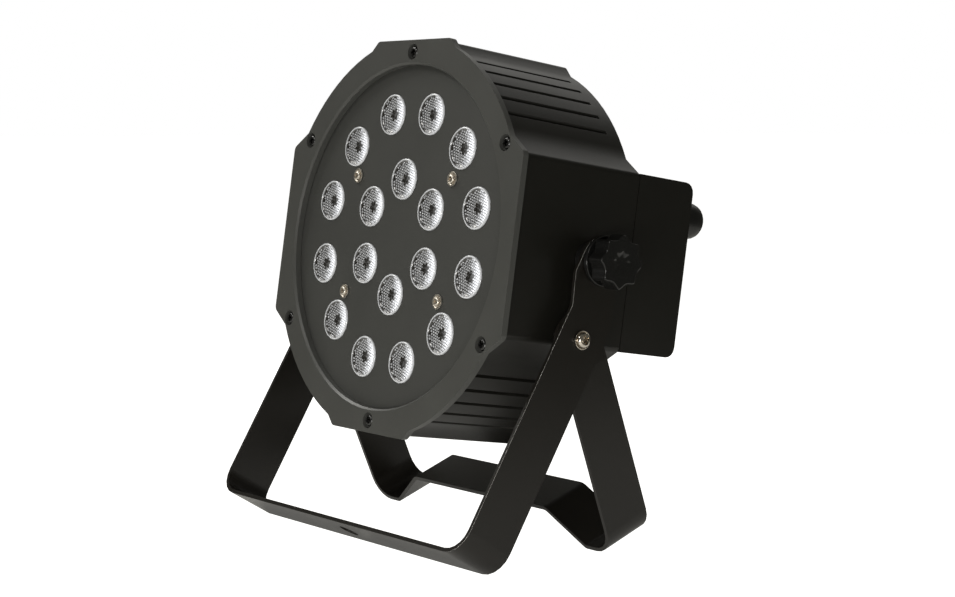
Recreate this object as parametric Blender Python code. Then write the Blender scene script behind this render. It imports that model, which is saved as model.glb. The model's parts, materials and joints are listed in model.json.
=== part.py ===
"""LED par can light: a finned head between two folding floor brackets.

Every size is in metres. The light stands on Z = 0 and shines towards -Y.
The head is drawn round its own front centre: X to its right, Y into its depth, Z up.
Each bracket is drawn with its legs running down local -Z.
"""
import math

import bmesh
import bpy
from mathutils import Matrix, Vector

# Clearances
GAP = 0.0003                    # between faces that touch
SHANK_CLEARANCE = 0.0004        # round a screw or a stud in its hole
BUTTON_TRAVEL = 0.001
PAST = 0.0100                   # how far a cutter runs past the face that it cuts
THROUGH = 0.3000                # reach of a cutter that goes through everything

# Head outline: four arcs joined by a lobe on each side and one at top and bottom
BEZEL_RADIUS = 0.1035
ARC_FIRST = math.radians(30.8)
ARC_LAST = math.radians(69.2)
SIDE_LOBE_RISE = 0.0121         # a side lobe's flat outside the arc's end
SIDE_LOBE_RUN = 0.0080          # length of its slope along the flat's direction
TOP_LOBE_RISE = 0.0052
TOP_LOBE_RUN = 0.0052
LOBE_FILLET = 0.0035
FLAT_SHARE = 1 / 3              # of an inset, by which the inset outline's flats are shorter
ARC_STEPS = 10

# Bezel and lens plate
BEZEL_THICKNESS = 0.0033
BEZEL_LIP = 0.0010              # collar that the lens plate bears on
RING_WIDTH = 0.0141             # from the bezel's arcs to its opening
PLATE_OVERLAP = 0.0019
PLATE_THICKNESS = 0.0015
TOP_SCREW_ROOM = 0.00636        # upper and lower screws, from the bezel's opening
SIDE_SCREW_INSET = 0.0047       # the other four, from the arcs' circle
SIDE_SCREW_ANGLE = math.radians(29.8)
BEZEL_SCREW_HEAD = 0.0030
BEZEL_SCREW_HEAD_HEIGHT = 0.0018
BEZEL_SCREW_SHANK = 0.0015
BEZEL_SCREW_LENGTH = 0.0100
COUNTERBORE_RADIUS = 0.0042
COUNTERBORE_DEPTH = 0.0024
BOSS_RADIUS = 0.0040

# Lenses
LENS_RADIUS = 0.01075
LENS_FLANGE = 0.0035
LENS_TIP_RADIUS = 0.0045
LENS_DEPTH = 0.0120
LENS_HOLE_CLEARANCE = 0.00025
OUTER_RING_INSET = 0.0234       # outer circle of lenses, from the bezel's opening
OUTER_COUNT = 12
INNER_RING = 0.0301
INNER_COUNT = 6
LENS_STEPS = 16
PLATE_SCREW_ROOM = 0.00572      # from the nearest outer lens to the screw's centre
PLATE_SCREW_TURN = math.radians(252.1)
PLATE_SCREW_HEAD = 0.0028
PLATE_SCREW_HEAD_HEIGHT = 0.0016
PLATE_SCREW_FLANGE = 0.0038
PLATE_SCREW_FLANGE_THICKNESS = 0.0006
PLATE_SCREW_SHANK = 0.0015
PLATE_SCREW_LENGTH = 0.0080

# Light engine
EMITTER_SIZE = 0.0050
EMITTER_HEIGHT = 0.0012
BOARD_THICKNESS = 0.0016
BOARD_MARGIN = 0.0018           # heat sink plate showing round the board
SINK_PLATE = 0.0046
SINK_CLEARANCE = 0.0050         # between heat sink plate and screw bosses
SINK_LEDGE = 0.0040             # width of its rim on the housing ledge
SINK_POST_RADIUS = 0.0030
FIN_HEIGHT = 0.0180
FIN_THICKNESS = 0.0020
FIN_PITCH = 0.0130

# Housing
BODY_STEP = 0.0018              # housing is this much smaller than the bezel
HOUSING_WALL = 0.0030
HOUSING_END = 0.0775
LEDGE_THICKNESS = 0.0030
RIB_ANGLES = [math.radians(39.3 + 5.98 * i) for i in range(5)]
RIB_GROOVE_WIDTH = 0.0023
RIB_GROOVE_DEPTH = 0.0014
RIB_GROOVE_FLOOR = 0.0009
RIB_GROOVE_STOP = 0.0080        # plain band behind the grooves
CABLE_WINDOW_MARGIN = 0.0020    # round the sockets' barrels
CABLE_WINDOW_HEIGHT = 0.0560
STUD_BOSS_RADIUS = 0.0090
STUD_BOSS_DEPTH = 0.0120

# Rear cover
COVER_END = 0.1150
COVER_WALL = 0.0025
COVER_ROUND = 0.0055
COVER_INNER_ROUND = 0.0030
COVER_SCREW_INSET = 0.0112      # from the cover's side
COVER_SCREW_HEAD = 0.0036
COVER_SCREW_HEAD_HEIGHT = 0.0020
COVER_SCREW_SHANK = 0.0019
COVER_SCREW_POST = 0.0045
COVER_SCREW_BITE = 0.0045       # beyond the joint, into the housing
COVER_BOSS_FLOOR = 0.0040       # solid boss beyond the screw's tip
POWER_SUPPLY_WIDTH = 0.0760
POWER_SUPPLY_HEIGHT = 0.0640
POWER_SUPPLY_EDGE = 0.0012
WIRING_GAP = 0.0042             # between the power supply and the control board
PANEL_X = 0.0240                # centre of display, buttons, board and power supply
BOARD_SIZE = (0.0720, 0.0016, 0.0580)
WINDOW_SIZE = (0.0440, 0.0018, 0.0180)
WINDOW_Z = 0.0120
WINDOW_INSET = 0.0002
DISPLAY_MARGIN = 0.0040         # window showing round the display
BUTTON_RADIUS = 0.0035
BUTTON_FLANGE = 0.0045
BUTTON_FLANGE_THICKNESS = 0.0013
BUTTON_PROUD = 0.0016
BUTTON_EDGE = 0.0006
BUTTON_PITCH = 0.0125
BUTTON_Z = -0.0130
SWITCH_SIZE = 0.0060
SWITCH_HEIGHT = 0.0020
PANEL_POST_RADIUS = 0.0030

# Signal sockets
SOCKET_INSET = 0.0332           # first socket, from the cover's side
SOCKET_PITCH = 0.0320
SOCKET_FLANGE = (0.0260, 0.0020, 0.0310)
SOCKET_CORNER = 0.0020
SOCKET_BARREL = 0.0118
SOCKET_DEPTH = 0.0230
SOCKET_RECESS_RADIUS = 0.0092
SOCKET_RECESS_DEPTH = 0.0140
PIN_RADIUS = 0.0012
PIN_RING = 0.0038
PIN_HOLE_RADIUS = 0.0016
PIN_HOLE_DEPTH = 0.0080

# Cable gland
GLAND_INSET = 0.0232            # from the cover's side
GLAND_Z = 0.0274
GLAND_HEX = 0.0105              # across corners, as a radius
GLAND_HEX_THICKNESS = 0.0050
GLAND_THREAD = 0.0076
GLAND_INNER_LENGTH = 0.0080
GLAND_NUT_RADIUS = 0.0098
GLAND_NUT_LENGTH = 0.0192
GLAND_NUT_END = 0.0068
GLAND_NUT_DOME = 0.0070
GLAND_NUT_CHAMFER = 0.0006
GLAND_BORE = 0.0043

# Tilt axis, knobs and bushes
AXIS_DEPTH = 0.0500             # behind the bezel's front
AXIS_DROP = 0.0015              # below the lens centre
HEAD_TILT = math.radians(-8.8)
STUD_RADIUS = 0.0039
BUSH_RADIUS = 0.0090
KNOB_COLLAR_RADIUS = 0.0125
KNOB_COLLAR_THICKNESS = 0.0026
KNOB_NECK_RADIUS = 0.0095
KNOB_NECK_LENGTH = 0.0016
KNOB_HEAD_LENGTH = 0.0103
KNOB_HEAD_RADIUS = 0.0124
KNOB_LOBE_HEIGHT = 0.0011
KNOB_LOBES = 8
KNOB_DISH_RADIUS = 0.0080
KNOB_DISH_DEPTH = 0.0012
KNOB_EDGE = 0.0011              # chamfer round both ends of the grip
KNOB_SINK = 0.0030              # neck's reach into the grip
KNOB_SOCKET_DEPTH = 0.0100
STUD_CHAMFER = 0.0008

# Brackets
STRIP_THICKNESS = 0.0020
STRIP_WIDTH = 0.0278
BUSH_ROOM = 0.00855             # between the housing's side and the front bracket's leg
FRONT_LEAN = math.radians(31.1)
FRONT_LENGTH = 0.1605           # tilt axis to the underside of the cross strip
FRONT_BEND = 0.0130
LEG_OFFSET = 0.0084             # leg centre line behind the tilt axis
TAB_RADIUS = 0.0122
TAB_STRAIGHT = 0.0120
TAB_END = 0.0272
TAB_FILLET = 0.0060
CLAMP_HOLE_RADIUS = 0.0054
PIVOT_DISTANCE = 0.0393         # tilt axis to fold pivot, down the leg
PIVOT_HEAD_RADIUS = 0.00475
PIVOT_HEAD_HEIGHT = 0.0028
PIVOT_SHANK = 0.0025
PIVOT_NUT = 0.0045              # across corners, as a radius
PIVOT_NUT_THICKNESS = 0.0032
BRACKET_CLEARANCE = 0.00055     # between front and rear legs
REAR_LEAN = math.radians(21.0)
REAR_TOE = math.radians(2.8)    # rear legs lean in below the pivot
REAR_TOE_START = 0.0160
REAR_TOE_BEND = 0.0300
REAR_BEND = 0.0130
FOOT_FLAT = 0.0080
ARCH_RISE = 0.0180
ARCH_SLOPE = math.radians(36.0)
ARCH_BEND = 0.0050

# Places that follow from the sizes above
BEZEL_SIDE = BEZEL_RADIUS * math.cos(ARC_FIRST) + SIDE_LOBE_RISE
BEZEL_TOP = BEZEL_RADIUS * math.sin(ARC_LAST) + TOP_LOBE_RISE
SIDE_FLAT = BEZEL_RADIUS * math.sin(ARC_FIRST) - SIDE_LOBE_RUN
TOP_FLAT = BEZEL_RADIUS * math.cos(ARC_LAST) - TOP_LOBE_RUN
RIM_RADIUS = BEZEL_RADIUS - RING_WIDTH
OUTER_RING = RIM_RADIUS - OUTER_RING_INSET
PLATE_SCREW_REACH = LENS_RADIUS + PLATE_SCREW_ROOM
PLATE_SCREW_X = OUTER_RING * math.cos(math.pi / 4) + PLATE_SCREW_REACH * math.cos(PLATE_SCREW_TURN)
PLATE_SCREW_Z = OUTER_RING * math.sin(math.pi / 4) + PLATE_SCREW_REACH * math.sin(PLATE_SCREW_TURN)
PLATE_FRONT = BEZEL_THICKNESS + BEZEL_LIP + GAP
PLATE_BACK = PLATE_FRONT + PLATE_THICKNESS
PLATE_RADIUS = RIM_RADIUS + PLATE_OVERLAP
HOUSING_FRONT = BEZEL_THICKNESS + GAP
LENS_FRONT = PLATE_FRONT - GAP
EMITTER_FRONT = LENS_FRONT + LENS_DEPTH + GAP
BOARD_FRONT = EMITTER_FRONT + EMITTER_HEIGHT
SINK_FRONT = BOARD_FRONT + BOARD_THICKNESS + GAP
LEDGE_FRONT = SINK_FRONT + SINK_PLATE + GAP
SINK_RADIUS = PLATE_RADIUS - SINK_CLEARANCE
BODY_SIDE = BEZEL_SIDE - BODY_STEP
COVER_SCREW_X = BODY_SIDE - COVER_SCREW_INSET
GLAND_X = BODY_SIDE - GLAND_INSET
SOCKET_X = (SOCKET_INSET - BODY_SIDE, SOCKET_INSET - BODY_SIDE + SOCKET_PITCH)
COVER_FRONT = HOUSING_END + GAP
COVER_INSIDE = COVER_END - COVER_WALL
BUTTON_FLANGE_BACK = COVER_INSIDE - GAP - BUTTON_FLANGE_THICKNESS
SWITCH_TOP = BUTTON_FLANGE_BACK - BUTTON_TRAVEL - GAP
PANEL_BOARD_BACK = SWITCH_TOP - SWITCH_HEIGHT
POWER_SUPPLY_DEPTH = PANEL_BOARD_BACK - BOARD_SIZE[1] - WIRING_GAP - COVER_FRONT
WINDOW_FRONT = COVER_END - WINDOW_INSET - WINDOW_SIZE[1]
BRACKET_INSIDE = BODY_SIDE + BUSH_ROOM
FRONT_HALF_WIDTH = BRACKET_INSIDE + STRIP_THICKNESS
REAR_HALF_WIDTH = BRACKET_INSIDE - BRACKET_CLEARANCE
REAR_INSIDE = REAR_HALF_WIDTH - STRIP_THICKNESS
KNOB_BASE = FRONT_HALF_WIDTH + GAP
LEG_FRONT_EDGE = LEG_OFFSET - STRIP_WIDTH / 2
LEG_BACK_EDGE = LEG_OFFSET + STRIP_WIDTH / 2


def down_leg(lean, along, across):
    """Y and Z, from the tilt axis, of a place on a strip leaning by an angle about X."""
    y = math.sin(lean) * along + math.cos(lean) * across
    z = -math.cos(lean) * along + math.sin(lean) * across
    return y, z


FLOOR = down_leg(-FRONT_LEAN, FRONT_LENGTH, LEG_BACK_EDGE)[1]
PIVOT_Y, PIVOT_Z = down_leg(-FRONT_LEAN, PIVOT_DISTANCE, LEG_OFFSET)
REAR_REACH = down_leg(REAR_LEAN, 0, -STRIP_WIDTH / 2)[1]
REAR_LENGTH = (PIVOT_Z - FLOOR + REAR_REACH) / math.cos(REAR_LEAN)
GLAND_END = COVER_END + GAP + GLAND_HEX_THICKNESS + GAP + GLAND_NUT_LENGTH
FOREMOST = down_leg(-FRONT_LEAN, FRONT_LENGTH, LEG_FRONT_EDGE)[0]
GLAND_TOP = GLAND_Z + AXIS_DROP + GLAND_NUT_END
REARMOST = down_leg(HEAD_TILT, -GLAND_TOP, GLAND_END - AXIS_DEPTH)[0]
AXIS = Vector((0, -(FOREMOST + REARMOST) / 2, -FLOOR))
PIVOT = AXIS + Vector((0, PIVOT_Y, PIVOT_Z))


# ---------------------------------------------------------------- scene and materials

def clear_scene():
    for found in list(bpy.data.objects):
        bpy.data.objects.remove(found, do_unlink=True)


def make_material(name, colour, roughness, metallic=0.0):
    material = bpy.data.materials.new(name)
    material.use_nodes = True
    shader = material.node_tree.nodes["Principled BSDF"]
    shader.inputs["Base Color"].default_value = (*colour, 1)
    shader.inputs["Roughness"].default_value = roughness
    shader.inputs["Metallic"].default_value = metallic
    material.diffuse_color = (*colour, 1)
    return material


def make_empty(name, location, tilt=0.0, parent=None):
    empty = bpy.data.objects.new(name, None)
    empty.location = location
    empty.rotation_euler = (tilt, 0, 0)
    empty.parent = parent
    bpy.context.scene.collection.objects.link(empty)
    return empty


def add_object(name, shape, parent, material=None, location=(0, 0, 0), smooth=False):
    """Make an object from a bmesh; without a material it is a cutter."""
    bmesh.ops.recalc_face_normals(shape, faces=shape.faces)
    mesh = bpy.data.meshes.new(name)
    shape.to_mesh(mesh)
    shape.free()
    made = bpy.data.objects.new(name, mesh)
    made.parent = parent
    made.location = location
    bpy.context.scene.collection.objects.link(made)
    if material is None:
        made.hide_render = True
        made.display_type = "WIRE"
        return made
    mesh.materials.append(material)
    if smooth:
        mesh.shade_smooth()
        mesh.set_sharp_from_angle(angle=math.radians(35))
    return made


def combine(target, other, operation="DIFFERENCE"):
    modifier = target.modifiers.new(other.name, "BOOLEAN")
    modifier.operation = operation
    modifier.object = other
    return modifier


# ---------------------------------------------------------------- shapes

def fillet(corners, steps=4):
    """Turn corners (u, v, radius) into points, with an arc at each rounded corner."""
    points = []
    count = len(corners)
    for i, (u, v, radius) in enumerate(corners):
        here = Vector((u, v))
        if radius == 0:
            points.append(here)
            continue
        before = (Vector(corners[i - 1][:2]) - here).normalized()
        after = (Vector(corners[(i + 1) % count][:2]) - here).normalized()
        half = before.angle(after) / 2
        centre = here + (before + after).normalized() * radius / math.sin(half)
        start = here + before * radius / math.tan(half) - centre
        end = here + after * radius / math.tan(half) - centre
        turn = math.atan2(start.cross(end), start.dot(end))
        for step in range(steps + 1):
            spoke = Matrix.Rotation(turn * step / steps, 2) @ start
            points.append(centre + spoke)
    return points


def add_prism(shape, points, place, low, high):
    """Extrude an outline; place(u, v, w) gives the point at height w over (u, v)."""
    base = shape.faces.new([shape.verts.new(place(u, v, low)) for u, v in points])
    grown = bmesh.ops.extrude_face_region(shape, geom=[base])["geom"]
    moved = [item for item in grown if isinstance(item, bmesh.types.BMVert)]
    shift = Vector(place(0, 0, high)) - Vector(place(0, 0, low))
    bmesh.ops.translate(shape, vec=shift, verts=moved)
    return shape


def through_depth(u, v, w):
    return (u, w, v)


def through_width(u, v, w):
    return (w, u, v)


def prism(points, low, high, place=through_depth):
    return add_prism(bmesh.new(), points, place, low, high)


def circle(radius, steps, centre=(0, 0), turn=0.0):
    angles = [turn + 2 * math.pi * i / steps for i in range(steps)]
    return [(centre[0] + radius * math.cos(a), centre[1] + radius * math.sin(a)) for a in angles]


def rectangle(width, height, centre=(0, 0)):
    u, v = centre
    return [(u + a * width / 2, v + b * height / 2) for a, b in ((-1, -1), (1, -1), (1, 1), (-1, 1))]


def posts(places, radius, low, high, steps=12, place=through_depth):
    """Round bars side by side in one mesh, for cutting or joining."""
    shape = bmesh.new()
    for centre in places:
        add_prism(shape, circle(radius, steps, centre), place, low, high)
    return shape


def turned(profile, steps, axis="Y"):
    """Spin a profile of (radius, height) round an axis; both ends may lie on it."""
    shape = bmesh.new()
    verts = [shape.verts.new((radius, 0, height)) for radius, height in profile]
    edges = [shape.edges.new(pair) for pair in zip(verts, verts[1:])]
    if profile[0][0] > 0:
        edges.append(shape.edges.new((verts[-1], verts[0])))
    bmesh.ops.spin(shape, geom=verts + edges, cent=(0, 0, 0), axis=(0, 0, 1),
                   angle=2 * math.pi, steps=steps, use_merge=True)
    bmesh.ops.remove_doubles(shape, verts=shape.verts, dist=1e-6)
    quarter = {"Y": Matrix.Rotation(math.radians(-90), 3, "X"),
               "X": Matrix.Rotation(math.radians(90), 3, "Y")}[axis]
    bmesh.ops.rotate(shape, matrix=quarter, verts=shape.verts)
    return shape


def mirror_x(shape):
    bmesh.ops.scale(shape, vec=(-1, 1, 1), verts=shape.verts)
    return shape


# ---------------------------------------------------------------- head outline

def lobed_outline(inset):
    """Outline of the head, drawn in by an inset."""
    radius = BEZEL_RADIUS - inset
    side = BEZEL_SIDE - inset
    top = BEZEL_TOP - inset
    shorter = inset * FLAT_SHARE
    first = (radius * math.cos(ARC_FIRST), radius * math.sin(ARC_FIRST), 0)
    last = (radius * math.cos(ARC_LAST), radius * math.sin(ARC_LAST), 0)
    side_lobe = fillet([(side, 0, 0), (side, SIDE_FLAT - shorter, LOBE_FILLET), first])[1:-1]
    top_lobe = fillet([last, (TOP_FLAT - shorter, top, LOBE_FILLET), (0, top, 0)])[1:-1]
    span = ARC_LAST - ARC_FIRST
    angles = [ARC_FIRST + span * i / ARC_STEPS for i in range(ARC_STEPS + 1)]
    arc = [(radius * math.cos(a), radius * math.sin(a)) for a in angles]
    quarter = [tuple(p) for p in side_lobe] + arc + [tuple(p) for p in top_lobe]
    upper = quarter + [(-x, z) for x, z in reversed(quarter)]
    return upper + [(x, -z) for x, z in reversed(upper)]


def rib_grooves():
    """Cutters for the grooves in the housing's four arcs, open to the front."""
    radius = BEZEL_RADIUS - BODY_STEP
    slope = (RIB_GROOVE_WIDTH - RIB_GROOVE_FLOOR) / 2 / RIB_GROOVE_DEPTH
    outer_half = RIB_GROOVE_WIDTH / 2 + slope * PAST
    section = [(radius - RIB_GROOVE_DEPTH, -RIB_GROOVE_FLOOR / 2), (radius + PAST, -outer_half),
               (radius + PAST, outer_half), (radius - RIB_GROOVE_DEPTH, RIB_GROOVE_FLOOR / 2)]
    shape = bmesh.new()
    for turn in RIB_ANGLES:
        for angle in (turn, math.pi - turn, math.pi + turn, -turn):
            cosine, sine = math.cos(angle), math.sin(angle)
            points = [(u * cosine - v * sine, u * sine + v * cosine) for u, v in section]
            add_prism(shape, points, through_depth, 0, HOUSING_END - RIB_GROOVE_STOP)
    return shape


def ring_places(count, radius, first):
    angles = [first + 2 * math.pi * i / count for i in range(count)]
    return [(radius * math.cos(a), radius * math.sin(a)) for a in angles]


TOP_SCREW_Z = RIM_RADIUS + TOP_SCREW_ROOM
SIDE_SCREW_X = (BEZEL_RADIUS - SIDE_SCREW_INSET) * math.cos(SIDE_SCREW_ANGLE)
SIDE_SCREW_Z = (BEZEL_RADIUS - SIDE_SCREW_INSET) * math.sin(SIDE_SCREW_ANGLE)
BEZEL_SCREWS = [(0, TOP_SCREW_Z), (SIDE_SCREW_X, SIDE_SCREW_Z), (SIDE_SCREW_X, -SIDE_SCREW_Z),
                (0, -TOP_SCREW_Z), (-SIDE_SCREW_X, -SIDE_SCREW_Z), (-SIDE_SCREW_X, SIDE_SCREW_Z)]
PLATE_SCREWS = [(a * PLATE_SCREW_X, b * PLATE_SCREW_Z) for a, b in ((1, 1), (1, -1), (-1, -1), (-1, 1))]
LENSES = (ring_places(OUTER_COUNT, OUTER_RING, math.radians(15))
          + ring_places(INNER_COUNT, INNER_RING, math.radians(30)))
COVER_SCREWS = [(-COVER_SCREW_X, 0), (COVER_SCREW_X, 0)]
BUTTONS = [(PANEL_X + BUTTON_PITCH * (i - 1.5), BUTTON_Z) for i in range(4)]
PANEL_POSTS = [(PANEL_X + a * (BOARD_SIZE[0] / 2 - PANEL_POST_RADIUS),
                b * (BOARD_SIZE[2] / 2 - PANEL_POST_RADIUS)) for a in (-1, 1) for b in (-1, 1)]


# ---------------------------------------------------------------- front of the head

def build_bezel(head, material):
    """Front ring: lobed plate with a collar behind its opening and sunk screw holes."""
    bezel = add_object("front_bezel", prism(lobed_outline(0), 0, BEZEL_THICKNESS), head, material)
    collar = add_object("cut_collar", prism(circle(PLATE_RADIUS, 72), BEZEL_THICKNESS / 2,
                                            BEZEL_THICKNESS + BEZEL_LIP), head)
    combine(bezel, collar, "UNION")
    opening = add_object("cut_rim", prism(circle(RIM_RADIUS, 72), -PAST, THROUGH), head)
    combine(bezel, opening)
    sinks = add_object("cut_counterbores",
                       posts(BEZEL_SCREWS, COUNTERBORE_RADIUS, -PAST, COUNTERBORE_DEPTH, 16), head)
    combine(bezel, sinks)
    holes = add_object("cut_bezel_holes", posts(BEZEL_SCREWS, BEZEL_SCREW_SHANK + SHANK_CLEARANCE,
                                                -PAST, THROUGH, 10), head)
    combine(bezel, holes)


PAN_CROWN = [(0, 1), (0.6, 0.92), (1, 0.4)]     # shares of a pan head's radius and height


def pan_screw(head_radius, head_height, shank_radius, shank_length, steps=12, flange=None):
    """Screw pointing along +Y from its seat at the origin; its head is in front of it."""
    profile = [(head_radius * across, -head_height * up) for across, up in PAN_CROWN]
    if flange:
        flange_radius, flange_thickness = flange
        profile += [(head_radius, -flange_thickness), (flange_radius, -flange_thickness),
                    (flange_radius, 0)]
    else:
        profile.append((head_radius, 0))
    profile += [(shank_radius, 0), (shank_radius, shank_length), (0, shank_length)]
    return turned(profile, steps)


def build_bezel_screws(head, material):
    for i, (x, z) in enumerate(BEZEL_SCREWS):
        shape = pan_screw(BEZEL_SCREW_HEAD, BEZEL_SCREW_HEAD_HEIGHT, BEZEL_SCREW_SHANK,
                          BEZEL_SCREW_LENGTH)
        add_object(f"bezel_screw_{i + 1}", shape, head, material,
                   (x, COUNTERBORE_DEPTH - GAP, z), smooth=True)


def build_lens_plate(head, material):
    plate = add_object("lens_plate", prism(circle(PLATE_RADIUS, 72), PLATE_FRONT, PLATE_BACK),
                       head, material)
    holes = add_object("cut_lens_holes", posts(LENSES, LENS_RADIUS + LENS_HOLE_CLEARANCE,
                                               -PAST, THROUGH, LENS_STEPS), head)
    combine(plate, holes)
    screws = add_object("cut_plate_screw_holes",
                        posts(PLATE_SCREWS, PLATE_SCREW_SHANK + SHANK_CLEARANCE, -PAST, THROUGH, 10), head)
    combine(plate, screws)


def build_plate_screws(head, material):
    for i, (x, z) in enumerate(PLATE_SCREWS):
        shape = pan_screw(PLATE_SCREW_HEAD, PLATE_SCREW_HEAD_HEIGHT, PLATE_SCREW_SHANK,
                          PLATE_SCREW_LENGTH, 12, (PLATE_SCREW_FLANGE, PLATE_SCREW_FLANGE_THICKNESS))
        add_object(f"plate_screw_{i + 1}", shape, head, material,
                   (x, PLATE_FRONT - GAP, z), smooth=True)


def build_lenses(head, material):
    """Each lens is a flanged cone that narrows to its emitter."""
    profile = [(0, 0), (LENS_RADIUS, 0), (LENS_RADIUS, LENS_FLANGE),
               (LENS_TIP_RADIUS, LENS_DEPTH), (0, LENS_DEPTH)]
    shape = turned(profile, LENS_STEPS)
    for i, (x, z) in enumerate(LENSES):
        add_object(f"lens_{i + 1:02d}", shape.copy(), head, material, (x, LENS_FRONT, z), smooth=True)
    shape.free()


def build_led_board(head, material):
    """Round metal-core board with one emitter behind each lens."""
    board_radius = SINK_RADIUS - BOARD_MARGIN
    board = add_object("led_board", prism(circle(board_radius, 48), BOARD_FRONT,
                                          BOARD_FRONT + BOARD_THICKNESS), head, material)
    chips = bmesh.new()
    for place in LENSES:
        add_prism(chips, rectangle(EMITTER_SIZE, EMITTER_SIZE, place), through_depth,
                  EMITTER_FRONT, BOARD_FRONT + BOARD_THICKNESS / 2)
    combine(board, add_object("join_emitters", chips, head), "UNION")
    holes = posts(PLATE_SCREWS, SINK_POST_RADIUS + GAP, 0, SINK_FRONT + SINK_PLATE, 12)
    combine(board, add_object("cut_board_holes", holes, head))


def build_heat_sink(head, material):
    """Plate with straight fins behind it and four posts that carry the lens plate."""
    sink = add_object("heat_sink", prism(circle(SINK_RADIUS, 48), SINK_FRONT,
                                         SINK_FRONT + SINK_PLATE), head, material)
    fin_reach = SINK_RADIUS - SINK_LEDGE - 2 * GAP - FIN_THICKNESS
    count = int(fin_reach / FIN_PITCH)
    fins = bmesh.new()
    for i in range(-count, count + 1):
        x = i * FIN_PITCH
        length = 2 * math.sqrt(fin_reach ** 2 - x ** 2)
        add_prism(fins, rectangle(FIN_THICKNESS, length, (x, 0)), through_depth,
                  SINK_FRONT + SINK_PLATE / 2, SINK_FRONT + SINK_PLATE + FIN_HEIGHT)
    combine(sink, add_object("join_fins", fins, head), "UNION")
    carriers = posts(PLATE_SCREWS, SINK_POST_RADIUS, PLATE_BACK + GAP, SINK_FRONT + SINK_PLATE / 2, 12)
    combine(sink, add_object("join_posts", carriers, head), "UNION")
    bores = posts(PLATE_SCREWS, PLATE_SCREW_SHANK + SHANK_CLEARANCE, 0,
                  PLATE_FRONT + PLATE_SCREW_LENGTH, 10)
    combine(sink, add_object("cut_post_bores", bores, head))


# ---------------------------------------------------------------- housing and rear cover

def build_housing(head, material):
    """Finned can: a shell with a ledge for the heat sink, screw bosses and a rear wall."""
    shape = prism(lobed_outline(BODY_STEP), HOUSING_FRONT, HOUSING_END)
    housing = add_object("main_housing", shape, head, material)
    combine(housing, add_object("cut_rib_grooves", rib_grooves(), head))
    inside = BODY_STEP + HOUSING_WALL
    front = add_object("cut_front_cavity", prism(lobed_outline(inside), 0, LEDGE_FRONT), head)
    bosses = posts(BEZEL_SCREWS, BOSS_RADIUS, -PAST, LEDGE_FRONT + PAST)
    combine(front, add_object("keep_bosses", bosses, head))
    combine(housing, front)
    opening = prism(circle(SINK_RADIUS - SINK_LEDGE, 48), 0, HOUSING_END / 2)
    combine(housing, add_object("cut_ledge", opening, head))
    rear = add_object("cut_rear_cavity", prism(lobed_outline(inside), LEDGE_FRONT + LEDGE_THICKNESS,
                                               HOUSING_END - HOUSING_WALL), head)
    place = (AXIS_DEPTH, -AXIS_DROP)
    for side in (-1, 1):
        reach = sorted((side * (BODY_SIDE - STUD_BOSS_DEPTH), side * 2 * BODY_SIDE))
        boss = posts([place], STUD_BOSS_RADIUS, *reach, 20, through_width)
        combine(rear, add_object("keep_stud_boss", boss, head))
    cover_bosses = posts(COVER_SCREWS, COVER_SCREW_POST,
                         HOUSING_END - COVER_SCREW_BITE - COVER_BOSS_FLOOR, THROUGH)
    combine(rear, add_object("keep_cover_bosses", cover_bosses, head))
    combine(housing, rear)
    bore = posts([place], STUD_RADIUS + SHANK_CLEARANCE, -THROUGH, THROUGH, 20, through_width)
    combine(housing, add_object("cut_stud_bore", bore, head))
    bolts = posts(BEZEL_SCREWS, BEZEL_SCREW_SHANK + SHANK_CLEARANCE, -PAST,
                  COUNTERBORE_DEPTH + BEZEL_SCREW_LENGTH, 10)
    combine(housing, add_object("cut_boss_bores", bolts, head))
    bites = posts(COVER_SCREWS, COVER_SCREW_SHANK + SHANK_CLEARANCE,
                  HOUSING_END - COVER_SCREW_BITE - GAP, THROUGH)
    combine(housing, add_object("cut_cover_bites", bites, head))
    centre = (sum(SOCKET_X) / 2, 0)
    width = SOCKET_PITCH + 2 * (SOCKET_BARREL + CABLE_WINDOW_MARGIN)
    window = prism(rectangle(width, CABLE_WINDOW_HEIGHT, centre), HOUSING_END / 2, THROUGH)
    combine(housing, add_object("cut_cable_window", window, head))


def cover_profile(inset):
    """Side view of the rear cover: open to the front, rounded at its rear edges."""
    end = COVER_END - inset
    half = SIDE_FLAT - inset
    start = COVER_FRONT - (PAST if inset else 0)
    radius = COVER_INNER_ROUND if inset else COVER_ROUND
    return fillet([(start, -half, 0), (end, -half, radius), (end, half, radius), (start, half, 0)])


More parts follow.
